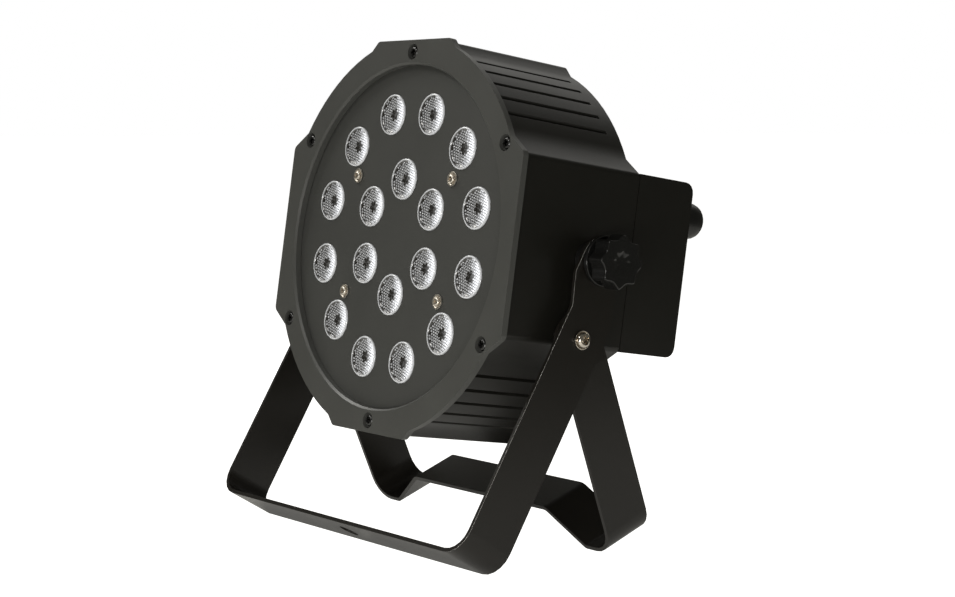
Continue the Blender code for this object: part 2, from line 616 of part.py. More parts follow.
def build_rear_cover(head, material):
    """Box over the electronics, with the panel's openings in its rear wall."""
    shape = prism(cover_profile(0), -BODY_SIDE, BODY_SIDE, through_width)
    cover = add_object("rear_cover", shape, head, material)
    wall = BODY_SIDE - COVER_WALL
    room = add_object("cut_cover_room", prism(cover_profile(COVER_WALL), -wall, wall, through_width), head)
    screw_posts = posts(COVER_SCREWS, COVER_SCREW_POST, COVER_FRONT, THROUGH)
    combine(room, add_object("keep_screw_posts", screw_posts, head))
    panel_posts = posts(PANEL_POSTS, PANEL_POST_RADIUS, PANEL_BOARD_BACK + GAP, THROUGH)
    combine(room, add_object("keep_panel_posts", panel_posts, head))
    combine(cover, room)
    window = rectangle(WINDOW_SIZE[0] + 2 * GAP, WINDOW_SIZE[2] + 2 * GAP, (PANEL_X, WINDOW_Z))
    combine(cover, add_object("cut_window", prism(window, COVER_FRONT, THROUGH), head))
    buttons = posts(BUTTONS, BUTTON_RADIUS + GAP, COVER_INSIDE - PAST, THROUGH)
    combine(cover, add_object("cut_buttons", buttons, head))
    sockets = posts([(x, 0) for x in SOCKET_X], SOCKET_BARREL + GAP, COVER_INSIDE - PAST, THROUGH, 28)
    combine(cover, add_object("cut_sockets", sockets, head))
    gland = posts([(GLAND_X, GLAND_Z)], GLAND_THREAD + GAP, COVER_INSIDE - PAST, THROUGH, 24)
    combine(cover, add_object("cut_gland", gland, head))
    bolts = posts(COVER_SCREWS, COVER_SCREW_SHANK + SHANK_CLEARANCE, 0, THROUGH)
    combine(cover, add_object("cut_cover_bolts", bolts, head))


def build_cover_screws(head, material):
    length = COVER_END + GAP - HOUSING_END + COVER_SCREW_BITE
    for name, (x, z) in zip(("left", "right"), COVER_SCREWS):
        shape = pan_screw(COVER_SCREW_HEAD, COVER_SCREW_HEAD_HEIGHT, COVER_SCREW_SHANK, length)
        bmesh.ops.rotate(shape, matrix=Matrix.Rotation(math.pi, 3, "X"), verts=shape.verts)
        add_object(f"cover_screw_{name}", shape, head, material, (x, COVER_END + GAP, z), smooth=True)


def build_electronics(head, board_material, metal, clear):
    outline = rectangle(POWER_SUPPLY_WIDTH, POWER_SUPPLY_HEIGHT, (PANEL_X, 0))
    box = prism(outline, COVER_FRONT, COVER_FRONT + POWER_SUPPLY_DEPTH)
    supply = add_object("power_supply", box, head, metal)
    bevel = supply.modifiers.new("edges", "BEVEL")
    bevel.width = POWER_SUPPLY_EDGE
    bevel.segments = 2

    width, depth, height = BOARD_SIZE
    panel = prism(rectangle(width, height, (PANEL_X, 0)), PANEL_BOARD_BACK - depth, PANEL_BOARD_BACK)
    board = add_object("control_board", panel, head, board_material)
    parts = bmesh.new()
    for place in BUTTONS:
        add_prism(parts, rectangle(SWITCH_SIZE, SWITCH_SIZE, place), through_depth,
                  PANEL_BOARD_BACK - depth / 2, SWITCH_TOP)
    display = rectangle(WINDOW_SIZE[0] - DISPLAY_MARGIN, WINDOW_SIZE[2] - DISPLAY_MARGIN,
                        (PANEL_X, WINDOW_Z))
    add_prism(parts, display, through_depth, PANEL_BOARD_BACK - depth / 2, WINDOW_FRONT - GAP)
    combine(board, add_object("join_components", parts, head), "UNION")

    width, depth, height = WINDOW_SIZE
    pane = prism(rectangle(width, height, (PANEL_X, WINDOW_Z)), WINDOW_FRONT, WINDOW_FRONT + depth)
    add_object("display_window", pane, head, clear)


def build_buttons(head, material):
    """Menu buttons: a cap through the cover on a flange that keeps it in."""
    top = COVER_END + BUTTON_PROUD - BUTTON_FLANGE_BACK
    profile = [(0, 0), (BUTTON_FLANGE, 0), (BUTTON_FLANGE, BUTTON_FLANGE_THICKNESS),
               (BUTTON_RADIUS, BUTTON_FLANGE_THICKNESS), (BUTTON_RADIUS, top - BUTTON_EDGE),
               (BUTTON_RADIUS - BUTTON_EDGE, top), (0, top)]
    for name, (x, z) in zip(("menu", "down", "up", "enter"), BUTTONS):
        add_object(f"button_{name}", turned(profile, 20), head, material,
                   (x, BUTTON_FLANGE_BACK, z), smooth=True)


def build_sockets(head, material):
    """Three-pole signal sockets: the inlet has pins in a recess, the outlet has holes."""
    width, thickness, height = SOCKET_FLANGE
    pins = [(PIN_RING * math.cos(a), PIN_RING * math.sin(a))
            for a in (math.radians(180), 0, math.radians(-90))]
    face = COVER_END + GAP
    made = []
    for name, x in zip(("dmx_in", "dmx_out"), SOCKET_X):
        corners = [(u, v, SOCKET_CORNER) for u, v in rectangle(width, height, (x, 0))]
        flange = add_object(name, prism(fillet(corners, 2), face, face + thickness), head, material)
        barrel = posts([(x, 0)], SOCKET_BARREL, face - SOCKET_DEPTH, face + thickness / 2, 28)
        combine(flange, add_object("join_barrel", barrel, head), "UNION")
        made.append(flange)
    inlet, outlet = made
    front = face + thickness
    recess = add_object("cut_recess", posts([(SOCKET_X[0], 0)], SOCKET_RECESS_RADIUS,
                                            front - SOCKET_RECESS_DEPTH, THROUGH, 28), head)
    pin_places = [(SOCKET_X[0] + u, v) for u, v in pins]
    keep = posts(pin_places, PIN_RADIUS, 0, front - thickness, 8)
    combine(recess, add_object("keep_pins", keep, head))
    combine(inlet, recess)
    hole_places = [(SOCKET_X[1] + u, v) for u, v in pins]
    holes = posts(hole_places, PIN_HOLE_RADIUS, front - PIN_HOLE_DEPTH, THROUGH, 8)
    combine(outlet, add_object("cut_pin_holes", holes, head))


def build_gland(head, material):
    """Cable gland: hexagonal body through the cover, with a domed clamping nut."""
    face = COVER_END + GAP
    hexagon = prism(circle(GLAND_HEX, 6, (GLAND_X, GLAND_Z)), face, face + GLAND_HEX_THICKNESS)
    body = add_object("gland_body", hexagon, head, material)
    inner = posts([(GLAND_X, GLAND_Z)], GLAND_THREAD, COVER_INSIDE - GLAND_INNER_LENGTH,
                  face + GLAND_HEX_THICKNESS / 2, 24)
    combine(body, add_object("join_thread", inner, head), "UNION")
    bore = posts([(GLAND_X, GLAND_Z)], GLAND_BORE, 0, THROUGH, 20)
    combine(body, add_object("cut_gland_bore", bore, head))
    seat = face + GLAND_HEX_THICKNESS + GAP
    straight = GLAND_NUT_LENGTH - GLAND_NUT_DOME
    taper = GLAND_NUT_RADIUS - GLAND_NUT_END
    dome = [(GLAND_NUT_END + taper * math.cos(a), straight + GLAND_NUT_DOME * math.sin(a))
            for a in [math.pi / 2 * i / 5 for i in range(6)]]
    profile = [(GLAND_BORE, 0), (GLAND_NUT_RADIUS - GLAND_NUT_CHAMFER, 0),
               (GLAND_NUT_RADIUS, GLAND_NUT_CHAMFER), *dome, (GLAND_BORE, GLAND_NUT_LENGTH)]
    add_object("gland_nut", turned(profile, 24), head, material, (GLAND_X, seat, GLAND_Z), smooth=True)


# ---------------------------------------------------------------- knobs, studs and bushes

def lobed_head(start, end):
    """Star-shaped hand grip along +X, drawn in a little at both ends."""
    shape = bmesh.new()
    steps = KNOB_LOBES * 5
    levels = [(start, -KNOB_EDGE), (start + KNOB_EDGE, 0), (end - KNOB_EDGE, 0), (end, -KNOB_EDGE)]
    rings = []
    for x, shrink in levels:
        ring = []
        for i in range(steps):
            angle = 2 * math.pi * i / steps
            radius = KNOB_HEAD_RADIUS + KNOB_LOBE_HEIGHT * math.cos(KNOB_LOBES * angle) + shrink
            ring.append(shape.verts.new((x, radius * math.cos(angle), radius * math.sin(angle))))
        rings.append(ring)
    for low, high in zip(rings, rings[1:]):
        for i in range(steps):
            j = (i + 1) % steps
            shape.faces.new((low[i], low[j], high[j], high[i]))
    shape.faces.new(list(reversed(rings[0])))
    shape.faces.new(rings[-1])
    return shape


def build_knob(side, name, parent, material):
    """Hand knob: collar on the bracket, neck and star grip with a dished end."""
    neck_end = KNOB_COLLAR_THICKNESS + KNOB_NECK_LENGTH
    end = neck_end + KNOB_HEAD_LENGTH
    shape = lobed_head(neck_end, end)
    base = turned([(0, 0), (KNOB_COLLAR_RADIUS, 0), (KNOB_COLLAR_RADIUS, KNOB_COLLAR_THICKNESS),
                   (KNOB_NECK_RADIUS, KNOB_COLLAR_THICKNESS), (KNOB_NECK_RADIUS, neck_end + KNOB_SINK),
                   (0, neck_end + KNOB_SINK)], 32, "X")
    dish = turned([(0, end - KNOB_DISH_DEPTH), (KNOB_DISH_RADIUS, end - KNOB_DISH_DEPTH),
                   (KNOB_DISH_RADIUS, end + PAST), (0, end + PAST)], 24, "X")
    socket = posts([(0, 0)], STUD_RADIUS + SHANK_CLEARANCE, -PAST, KNOB_SOCKET_DEPTH, 20, through_width)
    if side < 0:
        for part in (shape, base, dish, socket):
            mirror_x(part)
    place = (side * KNOB_BASE, 0, 0)
    knob = add_object(f"knob_{name}", shape, parent, material, place, smooth=True)
    combine(knob, add_object("join_knob_base", base, parent, None, place), "UNION")
    combine(knob, add_object("cut_knob_dish", dish, parent, None, place))
    combine(knob, add_object("cut_knob_socket", socket, parent, None, place))


def build_tilt_stud(side, name, parent, material):
    inner = BODY_SIDE - STUD_BOSS_DEPTH + GAP
    outer = KNOB_BASE + KNOB_SOCKET_DEPTH - GAP
    length = outer - inner
    tip = STUD_RADIUS - STUD_CHAMFER
    profile = [(0, 0), (tip, 0), (STUD_RADIUS, STUD_CHAMFER), (STUD_RADIUS, length - STUD_CHAMFER),
               (tip, length), (0, length)]
    shape = turned(profile, 20, "X")
    if side < 0:
        mirror_x(shape)
    add_object(f"tilt_stud_{name}", shape, parent, material, (side * inner, 0, 0), smooth=True)


def build_bush(side, name, tilt_axis, material):
    inner = BODY_SIDE + GAP
    outer = BRACKET_INSIDE - GAP
    bore = STUD_RADIUS + SHANK_CLEARANCE
    profile = [(bore, 0), (BUSH_RADIUS, 0), (BUSH_RADIUS, outer - inner), (bore, outer - inner)]
    shape = turned(profile, 28, "X")
    if side < 0:
        mirror_x(shape)
    add_object(f"spacer_bush_{name}", shape, tilt_axis, material, (side * inner, 0, 0), smooth=True)


# ---------------------------------------------------------------- brackets

def strip_ribbon(corners, width):
    """Open strip surface bent through corners (x, z, radius) and spread over Y."""
    path = fillet(corners, 5)
    shape = bmesh.new()
    rows = []
    for y in (-width / 2, width / 2):
        rows.append([shape.verts.new((x, y, z)) for x, z in path])
    near, far = rows
    for i in range(len(path) - 1):
        shape.faces.new((near[i], near[i + 1], far[i + 1], far[i]))
    return shape


def thicken(strip):
    """Give the ribbon its sheet thickness on the inner side."""
    modifier = strip.modifiers.new("sheet", "SOLIDIFY")
    modifier.thickness = STRIP_THICKNESS
    modifier.offset = -1
    modifier.use_even_offset = True


def make_strip(name, corners, parent, material):
    """Symmetric strip through corners that are given for its right half, bottom first."""
    left = [(-x, z, radius) for x, z, radius in reversed(corners)]
    made = add_object(name, strip_ribbon(left + corners, 4 * STRIP_WIDTH), parent, material)
    if made.data.polygons[0].normal.x > 0:
        made.data.flip_normals()
    thicken(made)
    return made


def build_front_bracket(frame, material):
    """Outer yoke: two legs with a rounded tab on the tilt axis, and a cross strip."""
    reach = TAB_RADIUS + PAST
    corners = [(STRIP_WIDTH, -FRONT_LENGTH, 0), (FRONT_HALF_WIDTH, -FRONT_LENGTH, FRONT_BEND),
               (FRONT_HALF_WIDTH, reach, 0)]
    bracket = make_strip("front_bracket", corners, frame, material)
    low = -FRONT_LENGTH - PAST
    touch = math.atan2(TAB_END, LEG_BACK_EDGE - TAB_RADIUS)
    tab = [(TAB_RADIUS * math.cos(a), TAB_RADIUS * math.sin(a))
           for a in [(math.pi / 2 - touch) + (math.pi / 2 + touch) * i / 12 for i in range(13)]]
    outline = [(LEG_FRONT_EDGE, low, 0), (LEG_BACK_EDGE, low, 0), (LEG_BACK_EDGE, -TAB_END, TAB_FILLET)]
    outline += [(y, z, 0) for y, z in tab]
    outline += [(-TAB_RADIUS, -TAB_STRAIGHT, TAB_FILLET), (LEG_FRONT_EDGE, -TAB_END, TAB_FILLET)]
    side_view = prism(fillet(outline, 3), -THROUGH, THROUGH, through_width)
    combine(bracket, add_object("keep_front_outline", side_view, frame), "INTERSECT")
    hole = posts([(0, 0)], STUD_RADIUS + SHANK_CLEARANCE, -THROUGH, THROUGH, 20, through_width)
    combine(bracket, add_object("cut_tilt_holes", hole, frame))
    pivots = posts([(LEG_OFFSET, -PIVOT_DISTANCE)], PIVOT_SHANK + SHANK_CLEARANCE, -THROUGH, THROUGH, 16,
                   through_width)
    combine(bracket, add_object("cut_front_pivots", pivots, frame))
    clamp = bmesh.new()
    add_prism(clamp, circle(CLAMP_HOLE_RADIUS, 24, (0, LEG_OFFSET)), lambda u, v, w: (u, v, w),
              -FRONT_LENGTH - PAST, -FRONT_LENGTH + PAST)
    combine(bracket, add_object("cut_clamp_hole", clamp, frame))


def build_rear_bracket(frame, material):
    """Inner yoke on the fold pivot: legs that lean in, two feet and a raised middle."""
    half = STRIP_WIDTH / 2
    toe = math.tan(REAR_TOE)
    foot_x = REAR_HALF_WIDTH - (REAR_LENGTH - REAR_TOE_START) * toe
    flat_end = foot_x - REAR_BEND - FOOT_FLAT
    arch_x = flat_end - ARCH_RISE / math.tan(ARCH_SLOPE)
    corners = [(arch_x, -REAR_LENGTH + ARCH_RISE, ARCH_BEND), (flat_end, -REAR_LENGTH, ARCH_BEND),
               (foot_x, -REAR_LENGTH, REAR_BEND), (REAR_HALF_WIDTH, -REAR_TOE_START, REAR_TOE_BEND),
               (REAR_HALF_WIDTH, half + PAST, 0)]
    bracket = make_strip("rear_bracket", corners, frame, material)
    low = -REAR_LENGTH - PAST
    top = [(half * math.cos(a), half * math.sin(a)) for a in [math.pi * i / 14 for i in range(15)]]
    outline = [(-half, low), (half, low)] + top
    side_view = prism(outline, -THROUGH, THROUGH, through_width)
    combine(bracket, add_object("keep_rear_outline", side_view, frame), "INTERSECT")
    pivots = posts([(0, 0)], PIVOT_SHANK + SHANK_CLEARANCE, -THROUGH, THROUGH, 16, through_width)
    combine(bracket, add_object("cut_rear_pivots", pivots, frame))


def build_fold_pivot(side, name, frame, material):
    """Cross-head screw through both legs, with its nut inside them."""
    seat = FRONT_HALF_WIDTH + GAP
    nut_seat = REAR_INSIDE - GAP
    shank = seat - nut_seat + PIVOT_NUT_THICKNESS
    turn = Matrix.Rotation(side * math.radians(90), 3, "Z")
    screw = pan_screw(PIVOT_HEAD_RADIUS, PIVOT_HEAD_HEIGHT, PIVOT_SHANK, shank, 20)
    bmesh.ops.rotate(screw, matrix=turn, verts=screw.verts)
    add_object(f"pivot_screw_{name}", screw, frame, material, (side * seat, 0, 0), smooth=True)
    nut_points = circle(PIVOT_NUT, 6)
    reach = sorted((side * nut_seat, side * (nut_seat - PIVOT_NUT_THICKNESS)))
    nut = add_object(f"pivot_nut_{name}", prism(nut_points, *reach, through_width), frame, material)
    bore = posts([(0, 0)], PIVOT_SHANK + SHANK_CLEARANCE, -THROUGH, THROUGH, 16, through_width)
    combine(nut, add_object("cut_nut_bore", bore, frame))


# ---------------------------------------------------------------- assembly

def main():
    clear_scene()
    bezel_paint = make_material("bezel_paint", (0.085, 0.085, 0.078), 0.55)
    plate_paint = make_material("plate_paint", (0.068, 0.070, 0.064), 0.6)
    housing_paint = make_material("housing_paint", (0.012, 0.012, 0.010), 0.5)
    bracket_paint = make_material("bracket_paint", (0.018, 0.017, 0.013), 0.5)
    black_plastic = make_material("black_plastic", (0.008, 0.008, 0.008), 0.25)
    black_screw = make_material("black_screw", (0.02, 0.02, 0.02), 0.35, 0.8)
    steel = make_material("zinc_steel", (0.62, 0.60, 0.56), 0.3, 1.0)
    clear = make_material("clear_lens", (0.75, 0.77, 0.78), 0.08)
    smoked = make_material("smoked_window", (0.02, 0.012, 0.012), 0.1)
    board_white = make_material("board_white", (0.8, 0.8, 0.78), 0.45)
    board_green = make_material("board_green", (0.02, 0.12, 0.05), 0.45)
    aluminium = make_material("aluminium", (0.6, 0.6, 0.6), 0.4, 1.0)
    nylon = make_material("black_nylon", (0.02, 0.02, 0.02), 0.45)

    tilt_axis = make_empty("tilt_axis", AXIS, HEAD_TILT)
    head = make_empty("head_front_centre", (0, -AXIS_DEPTH, AXIS_DROP), parent=tilt_axis)
    build_bezel(head, bezel_paint)
    build_bezel_screws(head, black_screw)
    build_lens_plate(head, plate_paint)
    build_plate_screws(head, steel)
    build_lenses(head, clear)
    build_led_board(head, board_white)
    build_heat_sink(head, aluminium)
    build_housing(head, housing_paint)
    build_rear_cover(head, housing_paint)
    build_cover_screws(head, black_screw)
    build_electronics(head, board_green, aluminium, smoked)
    build_buttons(head, black_plastic)
    build_sockets(head, black_plastic)
    build_gland(head, nylon)

    front_frame = make_empty("front_bracket_frame", AXIS, -FRONT_LEAN)
    build_front_bracket(front_frame, bracket_paint)
    fold_axis = make_empty("fold_axis", PIVOT, REAR_LEAN)
    build_rear_bracket(fold_axis, bracket_paint)
    for side, name in ((-1, "left"), (1, "right")):
        build_knob(side, name, tilt_axis, black_plastic)
        build_tilt_stud(side, name, tilt_axis, steel)
        build_bush(side, name, tilt_axis, nylon)
        build_fold_pivot(side, name, fold_axis, steel)


main()
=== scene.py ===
"""Looks of an LED par can light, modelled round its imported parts.

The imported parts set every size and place. Lengths are metres. The light stands on Z = 0 and
shines towards -Y, and left is -X.
"""

import json
import math
from collections import namedtuple

import bmesh
import bpy
from mathutils import Matrix, Vector


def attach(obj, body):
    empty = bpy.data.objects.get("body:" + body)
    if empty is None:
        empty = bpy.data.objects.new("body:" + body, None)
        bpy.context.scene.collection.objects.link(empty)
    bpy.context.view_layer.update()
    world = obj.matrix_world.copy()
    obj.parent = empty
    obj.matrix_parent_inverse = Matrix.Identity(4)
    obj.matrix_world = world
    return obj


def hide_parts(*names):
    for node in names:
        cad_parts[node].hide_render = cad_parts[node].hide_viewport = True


bl_info = {
    "name": "Par Can Light",
    "version": (1, 0, 0),
    "blender": (4, 5, 0),
    "location": "View3D > Sidebar > Par Can",
    "description": "Models a par can stage light round its packed parts",
    "category": "Object",
}

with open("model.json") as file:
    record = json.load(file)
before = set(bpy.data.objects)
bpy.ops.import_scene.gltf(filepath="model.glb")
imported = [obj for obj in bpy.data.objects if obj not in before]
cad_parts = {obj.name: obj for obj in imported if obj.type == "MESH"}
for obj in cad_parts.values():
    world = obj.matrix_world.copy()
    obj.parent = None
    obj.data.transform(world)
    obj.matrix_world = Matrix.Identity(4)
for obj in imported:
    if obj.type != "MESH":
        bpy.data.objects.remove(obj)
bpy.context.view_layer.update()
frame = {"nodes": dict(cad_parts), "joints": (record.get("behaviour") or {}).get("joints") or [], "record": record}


# ---------------------------------------------------------------- places taken from the frame

def joint(name):
    return next(item for item in frame["joints"] if item["name"] == name)


def mount(name):
    return next(item for item in frame["record"]["mounts"] if item["name"] == name)


AXIS = Vector(joint("head_tilt")["pos_m"])
PIVOT = Vector(joint("rear_yoke_fold")["pos_m"])
REARWARD = Vector(mount("dmx_in_face")["axis"])
UNDER_CLAMP = Vector(mount("clamp_face")["axis"])
HEAD = Matrix.Translation(AXIS) @ Matrix.Rotation(math.atan2(REARWARD.z, REARWARD.y), 4, "X")
LEG = Matrix.Translation(AXIS) @ Matrix.Rotation(math.atan2(UNDER_CLAMP.y, -UNDER_CLAMP.z), 4, "X")
FOLD = Matrix.Translation(PIVOT)
QUARTER = math.radians(90)
FACINGS = {
    "front": Matrix.Rotation(QUARTER, 4, "X"),
    "rear": Matrix.Rotation(-QUARTER, 4, "X"),
    "left": Matrix.Rotation(-QUARTER, 4, "Y"),
    "right": Matrix.Rotation(QUARTER, 4, "Y"),
}
SIDES = ("left", "right")
LENS_COUNT = sum(name.startswith("lens_") for name in frame["nodes"]) - 1
BEZEL_SCREWS = 6
PLATE_SCREWS = 4

# What counts as one point, a flat face, an edge to round and an edge to keep sharp
MERGE_DISTANCE = 1e-6
FLAT_ANGLE = math.radians(0.4)
EDGE_ANGLE = math.radians(32)
SMOOTH_ANGLE = math.radians(40)
FACES_ALONG = 0.5        # least cosine between a face's normal and the way it is said to face


def local_box(node, space):
    """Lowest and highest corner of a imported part, measured in a tilted space."""
    inverse = space.inverted()
    points = [inverse @ vertex.co for vertex in frame["nodes"][node].data.vertices]
    return Vector(map(min, zip(*points))), Vector(map(max, zip(*points)))


def middle(node, space):
    low, high = local_box(node, space)
    return (low + high) / 2


# ---------------------------------------------------------------- modelling helpers

def only(piece):
    bpy.ops.object.select_all(action="DESELECT")
    piece.select_set(True)
    bpy.context.view_layer.objects.active = piece


def start(add, **sizes):
    """Add a primitive with nothing else selected."""
    bpy.ops.object.select_all(action="DESELECT")
    add(**sizes)
    return bpy.context.object


def pick(piece, kind, test):
    """Enter edit mode with just the verts, edges or faces selected that pass a test."""
    only(piece)
    bpy.ops.object.mode_set(mode="EDIT")
    bpy.ops.mesh.select_mode(type={"verts": "VERT", "edges": "EDGE", "faces": "FACE"}[kind])
    bpy.ops.mesh.select_all(action="DESELECT")
    shape = bmesh.from_edit_mesh(piece.data)
    for item in getattr(shape, kind):
        if test(item):
            item.select_set(True)
    shape.select_flush_mode()
    bmesh.update_edit_mesh(piece.data)


def leave():
    bpy.ops.object.mode_set(mode="OBJECT")


def apply_place(piece):
    """Keep an object's place, turn and scale in its mesh."""
    only(piece)
    bpy.ops.object.transform_apply(location=True, rotation=True, scale=True)


def modify(piece, kind, **settings):
    only(piece)
    modifier = piece.modifiers.new(kind.lower(), kind)
    for name, value in settings.items():
        setattr(modifier, name, value)
    bpy.ops.object.modifier_apply(modifier=modifier.name)


def cut(piece, cutter):
    modify(piece, "BOOLEAN", operation="DIFFERENCE", object=cutter)
    bpy.data.objects.remove(cutter)


def merge(*pieces):
    """Join pieces into the first one."""
    only(pieces[0])
    for piece in pieces[1:]:
        piece.select_set(True)
    bpy.ops.object.join()
    return pieces[0]


def soften(piece, width, segments=2, angle=EDGE_ANGLE):
    """Round every edge that is sharper than an angle."""
    modify(piece, "BEVEL", width=width, segments=segments, limit_method="ANGLE",
           angle_limit=angle, use_clamp_overlap=True, miter_outer="MITER_ARC")


def smooth(piece, angle=SMOOTH_ANGLE):
    only(piece)
    bpy.ops.object.shade_smooth_by_angle(angle=angle)
    modify(piece, "WEIGHTED_NORMAL", keep_sharp=True)


def settle(piece, matrix):
    """Move a piece to its place and keep that place in its mesh."""
    piece.matrix_world = matrix
    apply_place(piece)


def duplicate(piece, name):
    """A copy with its own mesh."""
    made = bpy.data.objects.new(name, piece.data.copy())
    bpy.context.scene.collection.objects.link(made)
    return made


def packed_copy(node, name):
    """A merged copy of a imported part, with flat faces in one piece."""
    piece = duplicate(frame["nodes"][node], name)
    piece.data.materials.clear()
    only(piece)
    bpy.ops.mesh.customdata_custom_splitnormals_clear()
    bpy.ops.object.mode_set(mode="EDIT")
    bpy.ops.mesh.select_all(action="SELECT")
    bpy.ops.mesh.remove_doubles(threshold=MERGE_DISTANCE)
    bpy.ops.mesh.dissolve_limited(angle_limit=FLAT_ANGLE)
    leave()
    return piece


def hand_over(piece, name, body, slot, material, *nodes):
    """Name a finished piece, give it its material, hang it on its body's empty and hide the imported parts it
    stands for.
    """
    piece.name = name
    piece.data.name = name
    piece.data.materials.clear()
    piece.data.materials.append(material)
    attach(piece, body)
    if nodes:
        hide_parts(*nodes)


def finish_packed(node, name, edge, body, slot, material):
    """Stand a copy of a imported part, with its edges rounded, in that part's place."""
    piece = packed_copy(node, name)
    soften(piece, edge)
    smooth(piece)
    hand_over(piece, name, body, slot, material, node)


# ---------------------------------------------------------------- material helpers

class Wire:
    """A number in a material; arithmetic on it adds Math nodes."""

    def __init__(self, paint, socket):
        self.paint = paint
        self.socket = socket

    def maths(self, operation, first, second):
        return self.paint.node("ShaderNodeMath", {"operation": operation}, {0: first, 1: second})

    def __add__(self, other):
        return self.maths("ADD", self, other)

    def __sub__(self, other):
        return self.maths("SUBTRACT", self, other)

    def __rsub__(self, other):
        return self.maths("SUBTRACT", other, self)

    def __mul__(self, other):
        return self.maths("MULTIPLY", self, other)

    __radd__ = __add__
    __rmul__ = __mul__


class Paint:
    """One material, with a method that adds any node to it."""

    def __init__(self, name, **constants):
        self.material = bpy.data.materials.new(name)
        self.material.use_nodes = True
        self.tree = self.material.node_tree
        self.shader = self.tree.nodes["Principled BSDF"]
        self.set(**constants)

    def connect(self, value, socket):
        if isinstance(value, Wire):
            self.tree.links.new(value.socket, socket)
        elif socket.type == "RGBA":
            socket.default_value = (*value[:3], 1)
        else:
            socket.default_value = value

    def node(self, kind, settings=None, sockets=None, output=0):
        made = self.tree.nodes.new(kind)
        for name, value in (settings or {}).items():
            if name == "stops":
                made.color_ramp.elements.remove(made.color_ramp.elements[0])
                made.color_ramp.elements[0].position = value[0][0]
                for position, _shade in value[1:]:
                    made.color_ramp.elements.new(position)
                for stop, (_position, shade) in zip(made.color_ramp.elements, value):
                    stop.color = (*shade, 1) if isinstance(shade, tuple) else (shade, shade, shade, 1)
            else:
                setattr(made, name, value)
        for name, value in (sockets or {}).items():
            self.connect(value, made.inputs[name])
        return Wire(self, made.outputs[output])

    def set(self, **values):
        """Set sockets of the shader, with underscores for the spaces in their names."""
        for name, value in values.items():
            self.connect(value, self.shader.inputs[name.replace("_", " ")])

    def place(self):
        return self.node("ShaderNodeTexCoord", output="Object")

    def attribute(self, name):
        """Number that the mesh holds under a name."""
        return self.node("ShaderNodeAttribute", {"attribute_name": name}, output="Fac")

    def noise(self, size, detail=2.0, roughness=0.5):
        """Cloudy pattern whose features are about one size across."""
        return self.node("ShaderNodeTexNoise", {"noise_dimensions": "3D"},
                         {"Vector": self.place(), "Scale": 1 / size, "Detail": detail,
                          "Roughness": roughness})

    def ramp(self, value, *stops):
        return self.node("ShaderNodeValToRGB", {"stops": stops}, {"Fac": value})

    def blend(self, share, first, second):
        """Mix of two colours."""
        return self.node("ShaderNodeMix", {"data_type": "RGBA"}, {0: share, 6: first, 7: second},
                         output=2)

    def relief(self, height, depth):
        """Feed a bump of a real depth to the shader's normal."""
        self.set(Normal=self.node("ShaderNodeBump", None,
                                  {"Height": height, "Distance": depth, "Strength": 1.0}))


def shade(colour, share):
    return tuple(channel * share for channel in colour)


def powder_coat(name, colour, roughness, glint_colour=None):
    """Sprayed and baked paint: fine orange peel, faint clouding and a few dust specks.

    With a glint colour, faces that the mesh marks take a painted glint instead: a pale, slightly metallic colour
    that stands in for a highlight along an edge.
    """
    cloud_size, peel_size, fine_size, speck_size = 0.035, 0.0007, 0.000245, 0.0016
    peel_depth = 0.000012
    paint = Paint(name, Specular_IOR_Level=0.45)
    cloud = paint.noise(cloud_size, 3.0)
    peel = paint.noise(peel_size, 2.0)
    fine = paint.noise(fine_size, 1.0)
    specks = paint.ramp(paint.noise(speck_size, 1.0), (0.70, 0.0), (0.78, 1.0))
    base = paint.blend(cloud, shade(colour, 0.88), shade(colour, 1.12))
    base = paint.blend(specks * 0.10, base, shade(colour, 2.2))
    rough = roughness - 0.05 + cloud * 0.08 + specks * 0.06
    if glint_colour is not None:
        # Painted glint: marked faces turn pale and slightly metallic, standing in for a highlight along the edge.
        rubbed = paint.attribute("rubbed")
        base = paint.blend(rubbed, base, glint_colour)
        rough = rough - rubbed * 0.04
        paint.set(Metallic=rubbed * 0.30)
    paint.set(Base_Color=base, Roughness=rough)
    paint.relief(peel + fine * 0.4, peel_depth)
    return paint.material


def moulded_plastic(name, colour, roughness):
    """Injection moulding: nearly smooth, with soft clouding and fine handling marks."""
    cloud_size, mark_size, mark_depth = 0.012, 0.0009, 0.000006
    paint = Paint(name, IOR=1.49)
    cloud = paint.noise(cloud_size, 3.0)
    marks = paint.noise(mark_size, 4.0, 0.7)
    paint.set(Base_Color=paint.blend(cloud, shade(colour, 0.8), shade(colour, 1.2)),
              Roughness=roughness + marks * 0.10)
    paint.relief(marks, mark_depth)
    return paint.material


def plated_metal(name, colour, roughness, tarnish=0.75):
    """Plated metal with cloudy tarnish and fine tumbling marks."""
    cloud_size, mark_size, mark_depth = 0.0022, 0.00025, 0.000004
    paint = Paint(name, Metallic=1.0)
    cloud = paint.noise(cloud_size, 3.0)
    marks = paint.noise(mark_size, 3.0, 0.65)
    paint.set(Base_Color=paint.blend(cloud, shade(colour, tarnish), colour),
              Roughness=roughness + cloud * 0.12 + marks * 0.06)
    paint.relief(marks, mark_depth)
    return paint.material


def circuit_board(name, colour, track_colour):
    """Solder mask over copper: thin tracks show as slightly raised lines."""
    tracks_per_metre, track_height = 90.0, 0.00004
    paint = Paint(name)
    bands = paint.node("ShaderNodeTexWave", {"wave_type": "BANDS", "bands_direction": "DIAGONAL"},
                       {"Vector": paint.place(), "Scale": tracks_per_metre, "Distortion": 6.0})
    tracks = paint.ramp(bands, (0.55, 0.0), (0.62, 1.0))
    paint.set(Base_Color=paint.blend(tracks, colour, track_colour), Roughness=0.38 + tracks * 0.1)
    paint.relief(tracks, track_height)
    return paint.material


